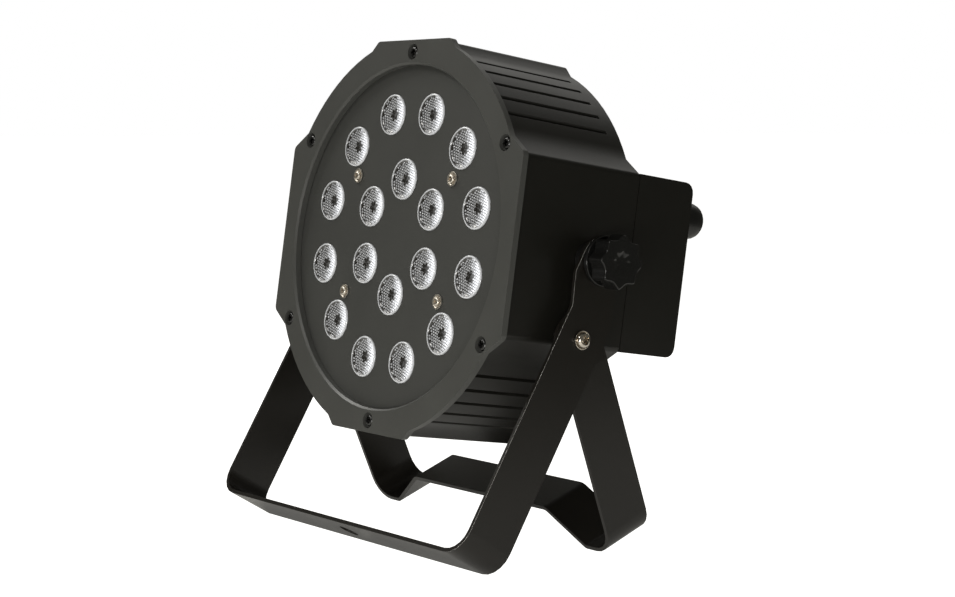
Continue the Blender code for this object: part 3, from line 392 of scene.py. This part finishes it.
def beaded_lens(name, colour, chip_colour):
    """Clear moulding: pale beads over dark depths, a chip in the middle and a pale rim.

    Beads away from the chip are painted pale and the rim near white. These are painted highlights that stand in
    for the dots of light on the beads and the bright line along the rim. The right side is painted paler still as
    a painted highlight, and its beads glow a little as a painted sparkle.
    """
    paint = Paint(name, Coat_Weight=1.0, Coat_Roughness=0.03)
    reach = paint.attribute("reach")
    beads = paint.attribute("bead")
    side = paint.attribute("side")
    cloud_size = 0.0011
    depths = paint.noise(cloud_size, 2.0)
    # Painted highlight: paler towards the right side of the lens, with a ragged edge from the noise.
    painted_right_highlight = paint.ramp(side + depths * 0.9, (0.42, 0.0), (1.05, 1.0))
    near_chip = paint.ramp(reach, (0.14, 0.0), (0.36, 1.0))
    rim = paint.ramp(reach, (0.90, 0.0), (0.93, 1.0))
    clear = paint.blend(painted_right_highlight, shade(chip_colour, 0.5), shade(colour, 0.55))
    pale = paint.blend(painted_right_highlight, shade(colour, 0.52), shade(colour, 1.08))
    # Painted highlights: beads away from the chip are pale over the dark clear moulding.
    painted_bead_dots = paint.blend(beads * near_chip, clear, pale)
    # Painted sparkle: beads on the right side glow a little, though the lens is no lamp.
    painted_sparkle = paint.blend(beads * painted_right_highlight, (0.0, 0.0, 0.0), shade(colour, 0.55))
    paint.set(Emission_Color=painted_sparkle, Emission_Strength=1.0)
    # The rim is painted near white, a painted highlight along it.
    paint.set(Base_Color=paint.blend(rim, painted_bead_dots, shade(colour, 1.0)),
              Roughness=0.30 - beads * 0.18 + depths * 0.10)
    return paint.material


# ---------------------------------------------------------------- sizes and colours in the panel

def length(name, description, default):
    return bpy.props.FloatProperty(name=name, description=description, default=default, min=0.0,
                                   precision=5, unit="LENGTH", subtype="DISTANCE")


def colour(name, description, default):
    return bpy.props.FloatVectorProperty(name=name, description=description, default=default,
                                         size=3, min=0.0, max=1.0, subtype="COLOR")


class ParCanSizes(bpy.types.PropertyGroup):
    """Sizes of the fine shapes."""
    casting_edge: length("Casting edge", "Rounding of the edges of cast pieces", 0.00045)
    bezel_edge: length("Bezel edge", "Rounding of the front ring", 0.0007)
    bezel_slope: length("Bezel slope", "Chamfer round the opening of the front ring", 0.0011)
    sheet_edge: length("Sheet edge", "Rounding of the edges of cut sheet metal", 0.00055)
    moulding_edge: length("Moulding edge", "Rounding of the edges of plastic mouldings", 0.0004)
    lens_rim: length("Lens rim", "Width of the smooth rim round a lens", 0.00085)
    lens_bowl: length("Lens bowl", "Depth of the beaded bowl of a lens", 0.0011)
    chip_radius: length("Chip radius", "Radius of the dark chip seen through a lens", 0.0019)
    bead_pitch: length("Bead pitch", "Distance between the beads of a lens", 0.00150)
    bead_radius: length("Bead radius", "Radius of one bead of a lens", 0.00064)
    dish_rim: length("Dish rim", "Width of the rim round the dish of a star knob", 0.0034)


class ParCanColours(bpy.types.PropertyGroup):
    """Colours of the finishes."""
    bezel: colour("Bezel", "Paint of the front ring", (0.074, 0.075, 0.070))
    plate: colour("Lens plate", "Paint of the lens plate", (0.062, 0.063, 0.059))
    housing: colour("Housing", "Paint of the can and its rear cover", (0.0085, 0.0080, 0.0062))
    bracket: colour("Bracket", "Paint of both yokes", (0.0088, 0.0075, 0.0057))
    # Painted glint along the front edges of the front yoke, standing in for a highlight.
    edge_glint: colour("Bare edge", "Metal that shows along rubbed edges", (1.0, 0.98, 0.95))
    lens: colour("Lens", "Tint of the clear lenses", (0.91, 0.93, 0.98))
    chip: colour("Chip", "Light-emitting chip behind a lens", (0.030, 0.026, 0.022))
    plastic: colour("Plastic", "Knobs, gland and sockets", (0.0085, 0.0085, 0.0082))
    bright_metal: colour("Bright metal", "Plated screws that show", (0.93, 0.86, 0.76))
    black_metal: colour("Black metal", "Blackened screws", (0.10, 0.10, 0.10))


def sizes():
    return bpy.context.scene.par_can_sizes


def colours():
    return bpy.context.scene.par_can_colours


# ---------------------------------------------------------------- front of the head

CONE_OVERLAP = 0.02          # share of the bezel's slope that its cone starts inside the opening
CONE_SIDES = 72
BEZEL_SEGMENTS = 3
BEZEL_ANGLE = math.radians(25)


class PARCAN_OT_bezel(bpy.types.Operator):
    """Front ring with rounded edges"""
    bl_idname = "par_can.bezel"
    bl_label = "Front bezel"

    def execute(self, context):
        paint = powder_coat("bezel_powder_coat", colours().bezel, 0.40)
        piece = packed_copy("front_bezel", "bezel_ring")
        slope = sizes().bezel_slope
        centre = middle("lens_plate", HEAD)
        centre.y = local_box("front_bezel", HEAD)[0].y
        front = HEAD @ Matrix.Translation(centre) @ FACINGS["front"]
        flat = front.inverted()
        opening = min((flat @ vertex.co).xy.length for vertex in piece.data.vertices)
        inner = opening - slope * CONE_OVERLAP
        cone = start(bpy.ops.mesh.primitive_cone_add, vertices=CONE_SIDES, radius1=inner,
                     radius2=inner + 2 * slope, depth=2 * slope)
        settle(cone, front)
        cut(piece, cone)
        soften(piece, sizes().bezel_edge, BEZEL_SEGMENTS, BEZEL_ANGLE)
        smooth(piece)
        hand_over(piece, "bezel_ring", "head", "bezel_paint", paint, "front_bezel")
        return {"FINISHED"}


class PARCAN_OT_lens_plate(bpy.types.Operator):
    """Flat plate that the lenses look out of"""
    bl_idname = "par_can.lens_plate"
    bl_label = "Lens plate"

    def execute(self, context):
        paint = powder_coat("plate_powder_coat", colours().plate, 0.50)
        finish_packed("lens_plate", "punched_lens_plate", sizes().sheet_edge, "head",
                      "plate_paint", paint)
        return {"FINISHED"}


LENS_DEPTH = 0.0062
LENS_SIDES = 48
LENS_LIP = 0.00035            # width and height of the small steps either side of the rim
LENS_SMOOTH_ANGLE = math.radians(50)
BOWL_STEPS = 6
BOWL_POWER = 4                # the bowl is flat in the middle and steepens towards the rim
CHIP_WALL = (0.0001, -0.0003)
CHIP_FLAT = 0.0002
CHIP_FLAT_SHARE = 0.4
BEAD_TURN = math.radians(45)
BEAD_SINK = 0.00010
BEAD_FLATTENING = 0.80
BEAD_CLEAR_OF_CHIP = 1.1      # in radii of a bead
BEAD_CLEAR_OF_RIM = 0.6


def bead_places(inner, outer, pitch):
    """Hexagonal grid between two radii."""
    row_height = pitch * math.sqrt(3) / 2
    rows = int(outer / row_height)
    columns = int(outer / pitch) + 1
    grid = [((column + (row % 2) / 2) * pitch, row * row_height)
            for row in range(-rows, rows + 1) for column in range(-columns, columns + 1)]
    turn = Matrix.Rotation(BEAD_TURN, 2)
    return [tuple(turn @ Vector(place)) for place in grid if inner < math.hypot(*place) < outer]


def mark_points(piece, name, values):
    piece.data.attributes.new(name, "FLOAT", "POINT").data.foreach_set("value", list(values))


def model_lens():
    """One lens at the origin that looks along +Z, its front at Z = 0."""
    low, high = local_box("lens_01", HEAD)
    radius = (high.x - low.x) / 2
    rim = sizes().lens_rim
    bowl = sizes().lens_bowl
    chip = sizes().chip_radius
    bead_radius = sizes().bead_radius
    bowl_start = radius - rim - LENS_LIP
    lens = start(bpy.ops.mesh.primitive_cylinder_add, vertices=LENS_SIDES, radius=radius,
                 depth=LENS_DEPTH, location=(0, 0, -LENS_DEPTH / 2))
    pick(lens, "faces", lambda face: face.normal.z > FACES_ALONG)
    bpy.ops.mesh.inset(thickness=LENS_LIP, depth=LENS_LIP)
    bpy.ops.mesh.inset(thickness=rim - LENS_LIP)
    bpy.ops.mesh.inset(thickness=LENS_LIP, depth=-2 * LENS_LIP)
    run = (bowl_start - chip) / BOWL_STEPS
    depths = [bowl * (1 - (1 - i / BOWL_STEPS) ** BOWL_POWER) for i in range(BOWL_STEPS + 1)]
    for shallow, deep in zip(depths, depths[1:]):
        bpy.ops.mesh.inset(thickness=run, depth=-(deep - shallow))
    bpy.ops.mesh.inset(thickness=CHIP_WALL[0], depth=CHIP_WALL[1])
    bpy.ops.mesh.inset(thickness=chip * CHIP_FLAT_SHARE, depth=CHIP_FLAT)
    leave()
    apply_place(lens)
    body_count = len(lens.data.vertices)

    bead = start(bpy.ops.mesh.primitive_ico_sphere_add, subdivisions=2, radius=bead_radius)
    flat = Matrix.Diagonal((1, 1, BEAD_FLATTENING, 1))
    inner = chip + bead_radius * BEAD_CLEAR_OF_CHIP
    outer = bowl_start - bead_radius * BEAD_CLEAR_OF_RIM
    beads = []
    for u, v in bead_places(inner, outer, sizes().bead_pitch):
        share = (math.hypot(u, v) - chip) / (bowl_start - chip)
        height = -LENS_LIP - bowl * (1 - share ** BOWL_POWER)
        lean = math.atan2(BOWL_POWER * bowl * share ** (BOWL_POWER - 1), bowl_start - chip)
        copy = duplicate(bead, "bead")
        copy.data.transform(Matrix.Translation((u, v, height - BEAD_SINK))
                            @ Matrix.Rotation(math.atan2(v, u), 4, "Z")
                            @ Matrix.Rotation(-lean, 4, "Y") @ flat)
        beads.append(copy)
    bpy.data.objects.remove(bead)
    lens = merge(lens, *beads)
    smooth(lens, LENS_SMOOTH_ANGLE)
    points = [vertex.co for vertex in lens.data.vertices]
    mark_points(lens, "reach", (point.xy.length / radius for point in points))
    # Position across the lens from left to right. The lens paint uses it to paint the right side paler, a painted
    # highlight.
    mark_points(lens, "side", (point.x / radius for point in points))
    mark_points(lens, "bead", (float(i >= body_count) for i in range(len(points))))
    return lens


class PARCAN_OT_lenses(bpy.types.Operator):
    """Beaded lenses, modelled once and copied"""
    bl_idname = "par_can.lenses"
    bl_label = "Lenses"

    def execute(self, context):
        pattern = model_lens()
        paint = beaded_lens("clear_beaded_acrylic", colours().lens, colours().chip)
        for i in range(1, LENS_COUNT + 1):
            node = f"lens_{i:02d}"
            low, high = local_box(node, HEAD)
            front = Vector(((low.x + high.x) / 2, low.y, (low.z + high.z) / 2))
            piece = duplicate(pattern, f"beaded_{node}")
            settle(piece, HEAD @ Matrix.Translation(front) @ FACINGS["front"])
            hand_over(piece, piece.name, "head", "lens_clear", paint, node)
        bpy.data.objects.remove(pattern)
        return {"FINISHED"}


# ---------------------------------------------------------------- screws

ScrewSizes = namedtuple("ScrewSizes", ("head_radius", "head_height", "shank_radius",
                                       "shank_length", "recess", "flange"), defaults=(None,))
Recess = namedtuple("Recess", ("length", "width", "depth"))
Flange = namedtuple("Flange", ("radius", "height"))
BEZEL_SCREW = ScrewSizes(0.0030, 0.0018, 0.0015, 0.0100, Recess(0.0042, 0.0011, 0.0013))
PLATE_SCREW = ScrewSizes(0.0022, 0.0016, 0.0015, 0.0080, Recess(0.0030, 0.0010, 0.0012),
                         Flange(0.0038, 0.0006))
COVER_SCREW = ScrewSizes(0.0036, 0.0020, 0.0019, 0.0440, Recess(0.0046, 0.0012, 0.0014))
PIVOT_SCREW = ScrewSizes(0.0038, 0.0028, 0.0025, 0.0080, Recess(0.0056, 0.0018, 0.0024),
                         Flange(0.00475, 0.0008))
SCREW_SIDES = 40
SHANK_SIDES = 24
RECESS_TURN = math.radians(20)
RECESS_TAPER = (0.55, 0.7, 1)
HEAD_SINK = 0.0001            # how far a head reaches into its flange


def model_flange(flange, head_radius):
    """Round flange with a groove round the head."""
    height = flange.height
    disc = start(bpy.ops.mesh.primitive_cylinder_add, vertices=SCREW_SIDES, radius=flange.radius,
                 depth=height, location=(0, 0, height / 2))
    pick(disc, "faces", lambda face: face.normal.z > FACES_ALONG)
    bpy.ops.mesh.inset(thickness=(flange.radius - head_radius) * 0.55)
    bpy.ops.mesh.inset(thickness=height * 0.3, depth=-height * 0.6)
    leave()
    soften(disc, height * 0.25)
    return disc


def model_head(screw):
    """Domed head with a tapered cross recess."""
    radius, top = screw.head_radius, screw.head_height
    height = top - screw.flange.height + HEAD_SINK if screw.flange else top
    head = start(bpy.ops.mesh.primitive_cylinder_add, vertices=SCREW_SIDES, radius=radius,
                 depth=height, location=(0, 0, top - height / 2))
    pick(head, "edges", lambda edge: all(v.co.z > 0 for v in edge.verts)
         and abs(edge.verts[0].co.z - edge.verts[1].co.z) < MERGE_DISTANCE)
    bpy.ops.mesh.bevel(offset=min(height * 0.72, radius * 0.5), segments=6, profile=0.45)
    leave()
    apply_place(head)
    length, width, depth = screw.recess
    for turn in (0, QUARTER):
        bar = start(bpy.ops.mesh.primitive_cube_add, size=1, location=(0, 0, top - depth / 2))
        bar.dimensions = (length, width, depth * 2)
        bpy.ops.object.transform_apply(location=False, rotation=False, scale=True)
        pick(bar, "faces", lambda face: face.normal.z < -FACES_ALONG)
        bpy.ops.transform.resize(value=RECESS_TAPER)
        leave()
        bar.rotation_euler.z = turn + RECESS_TURN
        apply_place(bar)
        cut(head, bar)
    return head


def model_shank(radius, length):
    """Shank that ends in a short point."""
    point = radius * 0.3
    shank = start(bpy.ops.mesh.primitive_cylinder_add, vertices=SHANK_SIDES, radius=radius,
                  depth=length, location=(0, 0, -length / 2))
    pick(shank, "faces", lambda face: face.normal.z < -FACES_ALONG)
    bpy.ops.mesh.inset(thickness=point, depth=0.0)
    bpy.ops.transform.translate(value=(0, 0, -point))
    leave()
    return shank


def model_screw(screw):
    """Cross-head screw along +Z, its seat at Z = 0."""
    parts = [model_flange(screw.flange, screw.head_radius)] if screw.flange else []
    parts.append(model_head(screw))
    parts.append(model_shank(screw.shank_radius, screw.shank_length))
    for part in parts:
        apply_place(part)
    made = merge(*parts)
    smooth(made)
    return made


def place_screws(screw, nodes, body, slot, paint, space, facing):
    """Model a screw once and copy it to each node, its head on the node's outer end."""
    pattern = model_screw(screw)
    top = max(vertex.co.z for vertex in pattern.data.vertices)
    outward = FACINGS[facing] @ Vector((0, 0, 1))
    for node in nodes:
        low, high = local_box(node, space)
        centre = (low + high) / 2
        reach = max((low - centre).dot(outward), (high - centre).dot(outward))
        seat = centre + outward * (reach - top)
        piece = duplicate(pattern, f"{node}_cross_head")
        settle(piece, space @ Matrix.Translation(seat) @ FACINGS[facing])
        hand_over(piece, piece.name, body, slot, paint, node)
    bpy.data.objects.remove(pattern)


class PARCAN_OT_screws(bpy.types.Operator):
    """Cross-head screws of the bezel, the lens plate, the rear cover and the fold pivot"""
    bl_idname = "par_can.screws"
    bl_label = "Screws"

    def execute(self, context):
        black = plated_metal("blackened_steel", colours().black_metal, 0.22, 0.5)
        bright = plated_metal("bright_nickel", colours().bright_metal, 0.30, 0.70)
        polished = plated_metal("polished_nickel", colours().bright_metal, 0.10, 0.70)
        names = [f"bezel_screw_{i + 1}" for i in range(BEZEL_SCREWS)]
        place_screws(BEZEL_SCREW, names, "head", "black_screw", black, HEAD, "front")
        names = [f"plate_screw_{i + 1}" for i in range(PLATE_SCREWS)]
        place_screws(PLATE_SCREW, names, "head", "bright_screw", bright, HEAD, "front")
        names = [f"cover_screw_{side}" for side in SIDES]
        place_screws(COVER_SCREW, names, "head", "black_screw", black, HEAD, "rear")
        for side in SIDES:
            place_screws(PIVOT_SCREW, [f"pivot_screw_{side}"], "front_yoke", "bright_screw",
                         polished, FOLD, side)
        return {"FINISHED"}


# ---------------------------------------------------------------- can and rear cover

class PARCAN_OT_housing(bpy.types.Operator):
    """Grooved can and the box behind it"""
    bl_idname = "par_can.housing"
    bl_label = "Housing"

    def execute(self, context):
        paint = powder_coat("housing_powder_coat", colours().housing, 0.40)
        finish_packed("main_housing", "grooved_can", sizes().sheet_edge, "head",
                      "housing_paint", paint)
        finish_packed("rear_cover", "control_box", sizes().casting_edge, "head",
                      "housing_paint", paint)
        return {"FINISHED"}


# ---------------------------------------------------------------- brackets, knobs and bushes

def mark_painted_glint_edges(strip):
    """Mark the rounded edges between the outer face of each leg and its front edge, which the paint turns pale as
    a painted glint that stands in for a highlight.
    """
    forward = LEG.to_3x3() @ Vector((0, -1, 0))

    def takes_painted_glint(face):
        leans_out = face.normal.x * face.center.x > 0.25 * abs(face.center.x)
        return leans_out and 0.25 < face.normal.dot(forward) < 0.97

    # Faces that get the painted glint.
    rubbed = strip.data.attributes.new("rubbed", "FLOAT", "FACE")
    rubbed.data.foreach_set("value", [float(takes_painted_glint(face)) for face in strip.data.polygons])


class PARCAN_OT_brackets(bpy.types.Operator):
    """Both yokes of bent strip, with their cut edges broken"""
    bl_idname = "par_can.brackets"
    bl_label = "Brackets"

    def execute(self, context):
        paint = powder_coat("bracket_powder_coat", colours().bracket, 0.36, colours().edge_glint)
        finish_packed("front_bracket", "front_yoke_strip", sizes().sheet_edge, "front_yoke",
                      "bracket_paint", paint)
        # The front yoke's front edges get a painted glint, standing in for a highlight.
        mark_painted_glint_edges(bpy.data.objects["front_yoke_strip"])
        finish_packed("rear_bracket", "rear_yoke_strip", sizes().sheet_edge, "rear_yoke",
                      "bracket_paint", paint)
        return {"FINISHED"}


COLLAR_RADIUS = 0.0125
COLLAR_DEPTH = 0.0026
COLLAR_SIDES = 64
NECK_RADIUS = 0.0095
NECK_END = 0.0042
NECK_OVERLAP = 0.002          # how far the neck reaches into the grip
LOBES = 8
LOBE_RADIUS = 0.0135
VALLEY_RADIUS = 0.0113
GRIP_ROUNDING = 0.0007
GRIP_CORNER_ANGLE = math.radians(60)
DISH_STEPS = ((0.0005, -0.0004), (0.0012, -0.0007), (0.0016, 0.0))    # width and rise of each


def model_collar():
    """Collar and neck of a star knob, standing on Z = 0."""
    collar = start(bpy.ops.mesh.primitive_cylinder_add, vertices=COLLAR_SIDES,
                   radius=COLLAR_RADIUS, depth=COLLAR_DEPTH, location=(0, 0, COLLAR_DEPTH / 2))
    pick(collar, "faces", lambda face: face.normal.z > FACES_ALONG)
    bpy.ops.mesh.inset(thickness=COLLAR_RADIUS - NECK_RADIUS)
    rise = NECK_END - COLLAR_DEPTH + NECK_OVERLAP
    bpy.ops.mesh.extrude_region_move(TRANSFORM_OT_translate={"value": (0, 0, rise)})
    leave()
    apply_place(collar)
    soften(collar, sizes().moulding_edge, 3)
    return collar


def model_grip(depth):
    """Lobed grip of a star knob, dished at its end."""
    # Subdivision leaves each point at two thirds of its own place and a third of its neighbours'
    # mean, so the points start further apart than the lobes and valleys end up.
    cosine = math.cos(math.pi / LOBES)
    total = (LOBE_RADIUS + VALLEY_RADIUS) / ((2 + cosine) / 3)
    spread = (LOBE_RADIUS - VALLEY_RADIUS) / ((2 - cosine) / 3)
    pull = (total - spread) / (total + spread)
    grip = start(bpy.ops.mesh.primitive_cylinder_add, vertices=2 * LOBES,
                 radius=(total + spread) / 2, depth=depth, location=(0, 0, NECK_END + depth / 2))
    step = math.pi / LOBES
    pick(grip, "verts", lambda v: round(math.atan2(v.co.y, v.co.x) / step) % 2 == 1)
    bpy.ops.transform.resize(value=(pull, pull, 1), center_override=(0, 0, 0))
    leave()
    pick(grip, "faces", lambda face: abs(face.normal.z) > FACES_ALONG)
    bpy.ops.mesh.inset(thickness=GRIP_ROUNDING)
    leave()
    pick(grip, "faces", lambda face: face.normal.z > FACES_ALONG and len(face.verts) == 2 * LOBES)
    bpy.ops.mesh.inset(thickness=sizes().dish_rim)
    for width, rise in DISH_STEPS:
        bpy.ops.mesh.inset(thickness=width, depth=rise)
    leave()
    pick(grip, "edges", lambda edge: abs(sum(v.co.z for v in edge.verts)) > depth - MERGE_DISTANCE
         and edge.calc_face_angle(0) > GRIP_CORNER_ANGLE)
    bpy.ops.mesh.bevel(offset=GRIP_ROUNDING * 0.8, segments=2)
    leave()
    modify(grip, "SUBSURF", levels=3, render_levels=3)
    apply_place(grip)
    return grip


def model_star_knob():
    """Star knob at the origin, its collar on Z = 0 and its dished end towards +Z."""
    low, high = local_box("knob_right", HEAD)
    collar = model_collar()
    knob = merge(model_grip(high.x - low.x - NECK_END), collar)
    smooth(knob)
    return knob


class PARCAN_OT_knobs(bpy.types.Operator):
    """Star knobs of the tilt axis with their bushes"""
    bl_idname = "par_can.knobs"
    bl_label = "Star knobs"

    def execute(self, context):
        gloss = moulded_plastic("glossy_black_moulding", colours().plastic, 0.16)
        nylon = moulded_plastic("bush_nylon", colours().plastic, 0.42)
        pattern = model_star_knob()
        for side in SIDES:
            node = f"knob_{side}"
            low, high = local_box(node, HEAD)
            seat = Vector((low.x if side == "right" else high.x, 0, 0))
            piece = duplicate(pattern, f"star_{node}")
            settle(piece, HEAD @ Matrix.Translation(seat) @ FACINGS[side])
            hand_over(piece, piece.name, f"{side}_knob", "knob_plastic", gloss, node)
            finish_packed(f"spacer_bush_{side}", f"turned_bush_{side}", sizes().moulding_edge,
                          "head", "black_nylon", nylon)
        bpy.data.objects.remove(pattern)
        return {"FINISHED"}


# ---------------------------------------------------------------- rear panel

class PARCAN_OT_rear_panel(bpy.types.Operator):
    """Signal sockets, cable gland, display window and menu keys"""
    bl_idname = "par_can.rear_panel"
    bl_label = "Rear panel"

    def execute(self, context):
        nylon = moulded_plastic("black_nylon_moulding", colours().plastic, 0.34)
        rubber = moulded_plastic("key_moulding", shade(colours().plastic, 1.8), 0.55)
        smoked = moulded_plastic("smoked_acrylic", (0.020, 0.006, 0.006), 0.05)
        edge = sizes().moulding_edge
        for node in ("dmx_in", "dmx_out", "gland_body", "gland_nut"):
            finish_packed(node, f"{node}_moulding", edge, "head", "black_nylon", nylon)
        for key in ("menu", "down", "up", "enter"):
            finish_packed(f"button_{key}", f"button_{key}_moulding", edge, f"{key}_key",
                          "button_plastic", rubber)
        finish_packed("display_window", "display_window_moulding", sizes().sheet_edge, "head",
                      "smoked_window", smoked)
        return {"FINISHED"}


# ---------------------------------------------------------------- pieces inside

class PARCAN_OT_inner_parts(bpy.types.Operator):
    """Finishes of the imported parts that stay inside"""
    bl_idname = "par_can.inner_parts"
    bl_label = "Inner parts"

    def execute(self, context):
        zinc = plated_metal("zinc_plate", (0.55, 0.56, 0.58), 0.3)
        bare = plated_metal("bare_aluminium", (0.62, 0.62, 0.63), 0.35, 0.85)
        white = circuit_board("white_board", (0.72, 0.72, 0.70), (0.62, 0.62, 0.60))
        green = circuit_board("green_board", (0.015, 0.10, 0.04), (0.03, 0.16, 0.06))
        finishes = {"led_board": white, "control_board": green, "heat_sink": bare,
                    "power_supply": bare}
        for side in SIDES:
            finishes[f"pivot_nut_{side}"] = zinc
            finishes[f"tilt_stud_{side}"] = zinc
        for node, paint in finishes.items():
            for slot in frame["nodes"][node].material_slots:
                slot.material = paint
        return {"FINISHED"}


# ---------------------------------------------------------------- stage

CAMERA_AZIMUTH = math.radians(52.379)
CAMERA_ELEVATION = math.radians(4.929)
CAMERA_FROM_AXIS = Vector((0.85498, -0.65122, 0.06679))
CAMERA_SENSOR = 36.0
CAMERA_LENS = 76.47
NEAREST_SEEN = 0.05
FLOOR_SIZE = 60.0
FLOOR_HEIGHT = -0.0006
FLOOR_COLOUR = (0.97, 0.97, 0.965)
CARD_RADIUS = 0.45
CARD_HEIGHT = -0.0003
CARD_COLOUR = (0.80, 0.79, 0.75)
CARD_GLOW = 0.42
ROOM_COLOUR = (0.092, 0.090, 0.078)
BACKDROP_COLOUR = (1.0, 1.0, 1.0)
LAMP_COLOUR = (1.0, 0.985, 0.945)
Softbox = namedtuple("Softbox", "name azimuth elevation distance width height watts")
SOFTBOXES = (Softbox("key_softbox", -70, 45, 1.1, 0.50, 0.50, 4.8),
             Softbox("front_softbox", 0, 44, 1.2, 0.22, 0.22, 2.4),
             Softbox("low_softbox", 46, -5, 0.85, 0.50, 0.12, 2.6),
             Softbox("side_softbox", -96, 4, 1.0, 0.30, 0.70, 1.4),
             Softbox("back_softbox", -150, 34, 1.2, 0.90, 0.60, 1.2))


def direction(azimuth, elevation):
    """Unit vector from the light to a place round it; azimuth 0 is in front of it."""
    level = math.cos(elevation)
    return Vector((math.sin(azimuth) * level, -math.cos(azimuth) * level, math.sin(elevation)))


def add_softbox(box):
    """Area light that faces the tilt axis, out of the camera's sight."""
    towards = direction(math.radians(box.azimuth), math.radians(box.elevation))
    light = bpy.data.lights.new(box.name, "AREA")
    light.shape = "RECTANGLE"
    light.size = box.width
    light.size_y = box.height
    light.energy = box.watts
    light.color = LAMP_COLOUR
    lamp = bpy.data.objects.new(box.name, light)
    lamp.visible_camera = False
    lamp.location = AXIS + towards * box.distance
    lamp.rotation_euler = towards.to_track_quat("Z", "Y").to_euler()
    bpy.context.scene.collection.objects.link(lamp)


def pale_material(name, colour, glow):
    """Matt backdrop paper that also gives off some light."""
    paint = Paint(name, Roughness=0.8, Specular_IOR_Level=0.0, Emission_Strength=glow)
    cloud = paint.noise(0.4, 2.0)
    paint.set(Base_Color=paint.blend(cloud, shade(colour, 0.985), colour))
    paint.set(Emission_Color=colour)
    return paint.material


def light_room(scene):
    """Dim room all round, which the camera sees as a white backdrop."""
    world = bpy.data.worlds.new("studio")
    scene.world = world
    world.use_nodes = True
    nodes, links = world.node_tree.nodes, world.node_tree.links
    path = nodes.new("ShaderNodeLightPath")
    mix = nodes.new("ShaderNodeMix")
    mix.data_type = "RGBA"
    links.new(path.outputs["Is Camera Ray"], mix.inputs[0])
    mix.inputs[6].default_value = (*ROOM_COLOUR, 1)
    mix.inputs[7].default_value = (*BACKDROP_COLOUR, 1)
    links.new(mix.outputs[2], nodes["Background"].inputs["Color"])


def add_camera(scene):
    """Camera that looks at the tilt axis's level from the front right."""
    lens = bpy.data.cameras.new("camera")
    lens.sensor_width = CAMERA_SENSOR
    lens.lens = CAMERA_LENS
    lens.clip_start = NEAREST_SEEN
    camera = bpy.data.objects.new("camera", lens)
    camera.location = AXIS + CAMERA_FROM_AXIS
    towards = direction(CAMERA_AZIMUTH, CAMERA_ELEVATION)
    camera.rotation_euler = towards.to_track_quat("Z", "Y").to_euler()
    scene.collection.objects.link(camera)
    bpy.context.scene.camera = camera


class PARCAN_OT_stage(bpy.types.Operator):
    """Pale floor, soft lights and the camera"""
    bl_idname = "par_can.stage"
    bl_label = "Stage"

    def execute(self, context):
        context.scene.view_settings.view_transform = "Standard"
        floor = start(bpy.ops.mesh.primitive_plane_add, size=FLOOR_SIZE,
                      location=(0, 0, FLOOR_HEIGHT))
        floor.name = "floor"
        floor.visible_glossy = False
        floor.visible_diffuse = False
        floor.data.materials.append(pale_material("pale_floor", FLOOR_COLOUR, 1.0))
        card = start(bpy.ops.mesh.primitive_circle_add, vertices=64, radius=CARD_RADIUS,
                     fill_type="NGON", location=(0, 0, CARD_HEIGHT))
        card.name = "bounce_card"
        card.visible_camera = False
        card.data.materials.append(pale_material("bounce_card", CARD_COLOUR, CARD_GLOW))
        light_room(context.scene)
        for box in SOFTBOXES:
            add_softbox(box)
        add_camera(context.scene)
        return {"FINISHED"}


# ---------------------------------------------------------------- panel and registration

PIECE_OPERATORS = (PARCAN_OT_bezel, PARCAN_OT_lens_plate, PARCAN_OT_lenses, PARCAN_OT_housing,
                   PARCAN_OT_brackets, PARCAN_OT_knobs, PARCAN_OT_rear_panel, PARCAN_OT_screws,
                   PARCAN_OT_inner_parts, PARCAN_OT_stage)


class PARCAN_PT_panel(bpy.types.Panel):
    """Sizes, colours and the operators of the light"""
    bl_idname = "PARCAN_PT_panel"
    bl_label = "Par Can Light"
    bl_space_type = "VIEW_3D"
    bl_region_type = "UI"
    bl_category = "Par Can"

    def draw(self, context):
        for group in (context.scene.par_can_sizes, context.scene.par_can_colours):
            box = self.layout.box()
            for name in group.__annotations__:
                box.prop(group, name)
        for operator in PIECE_OPERATORS:
            self.layout.operator(operator.bl_idname)


CLASSES = (ParCanSizes, ParCanColours, *PIECE_OPERATORS, PARCAN_PT_panel)


def register():
    for item in CLASSES:
        bpy.utils.register_class(item)
    bpy.types.Scene.par_can_sizes = bpy.props.PointerProperty(type=ParCanSizes)
    bpy.types.Scene.par_can_colours = bpy.props.PointerProperty(type=ParCanColours)


def unregister():
    del bpy.types.Scene.par_can_colours
    del bpy.types.Scene.par_can_sizes
    for item in reversed(CLASSES):
        bpy.utils.unregister_class(item)


def main():
    register()
    bpy.ops.par_can.stage()
    bpy.ops.par_can.bezel()
    bpy.ops.par_can.lens_plate()
    bpy.ops.par_can.lenses()
    bpy.ops.par_can.housing()
    bpy.ops.par_can.brackets()
    bpy.ops.par_can.knobs()
    bpy.ops.par_can.rear_panel()
    bpy.ops.par_can.screws()
    bpy.ops.par_can.inner_parts()


if __name__ == "__main__":
    main()
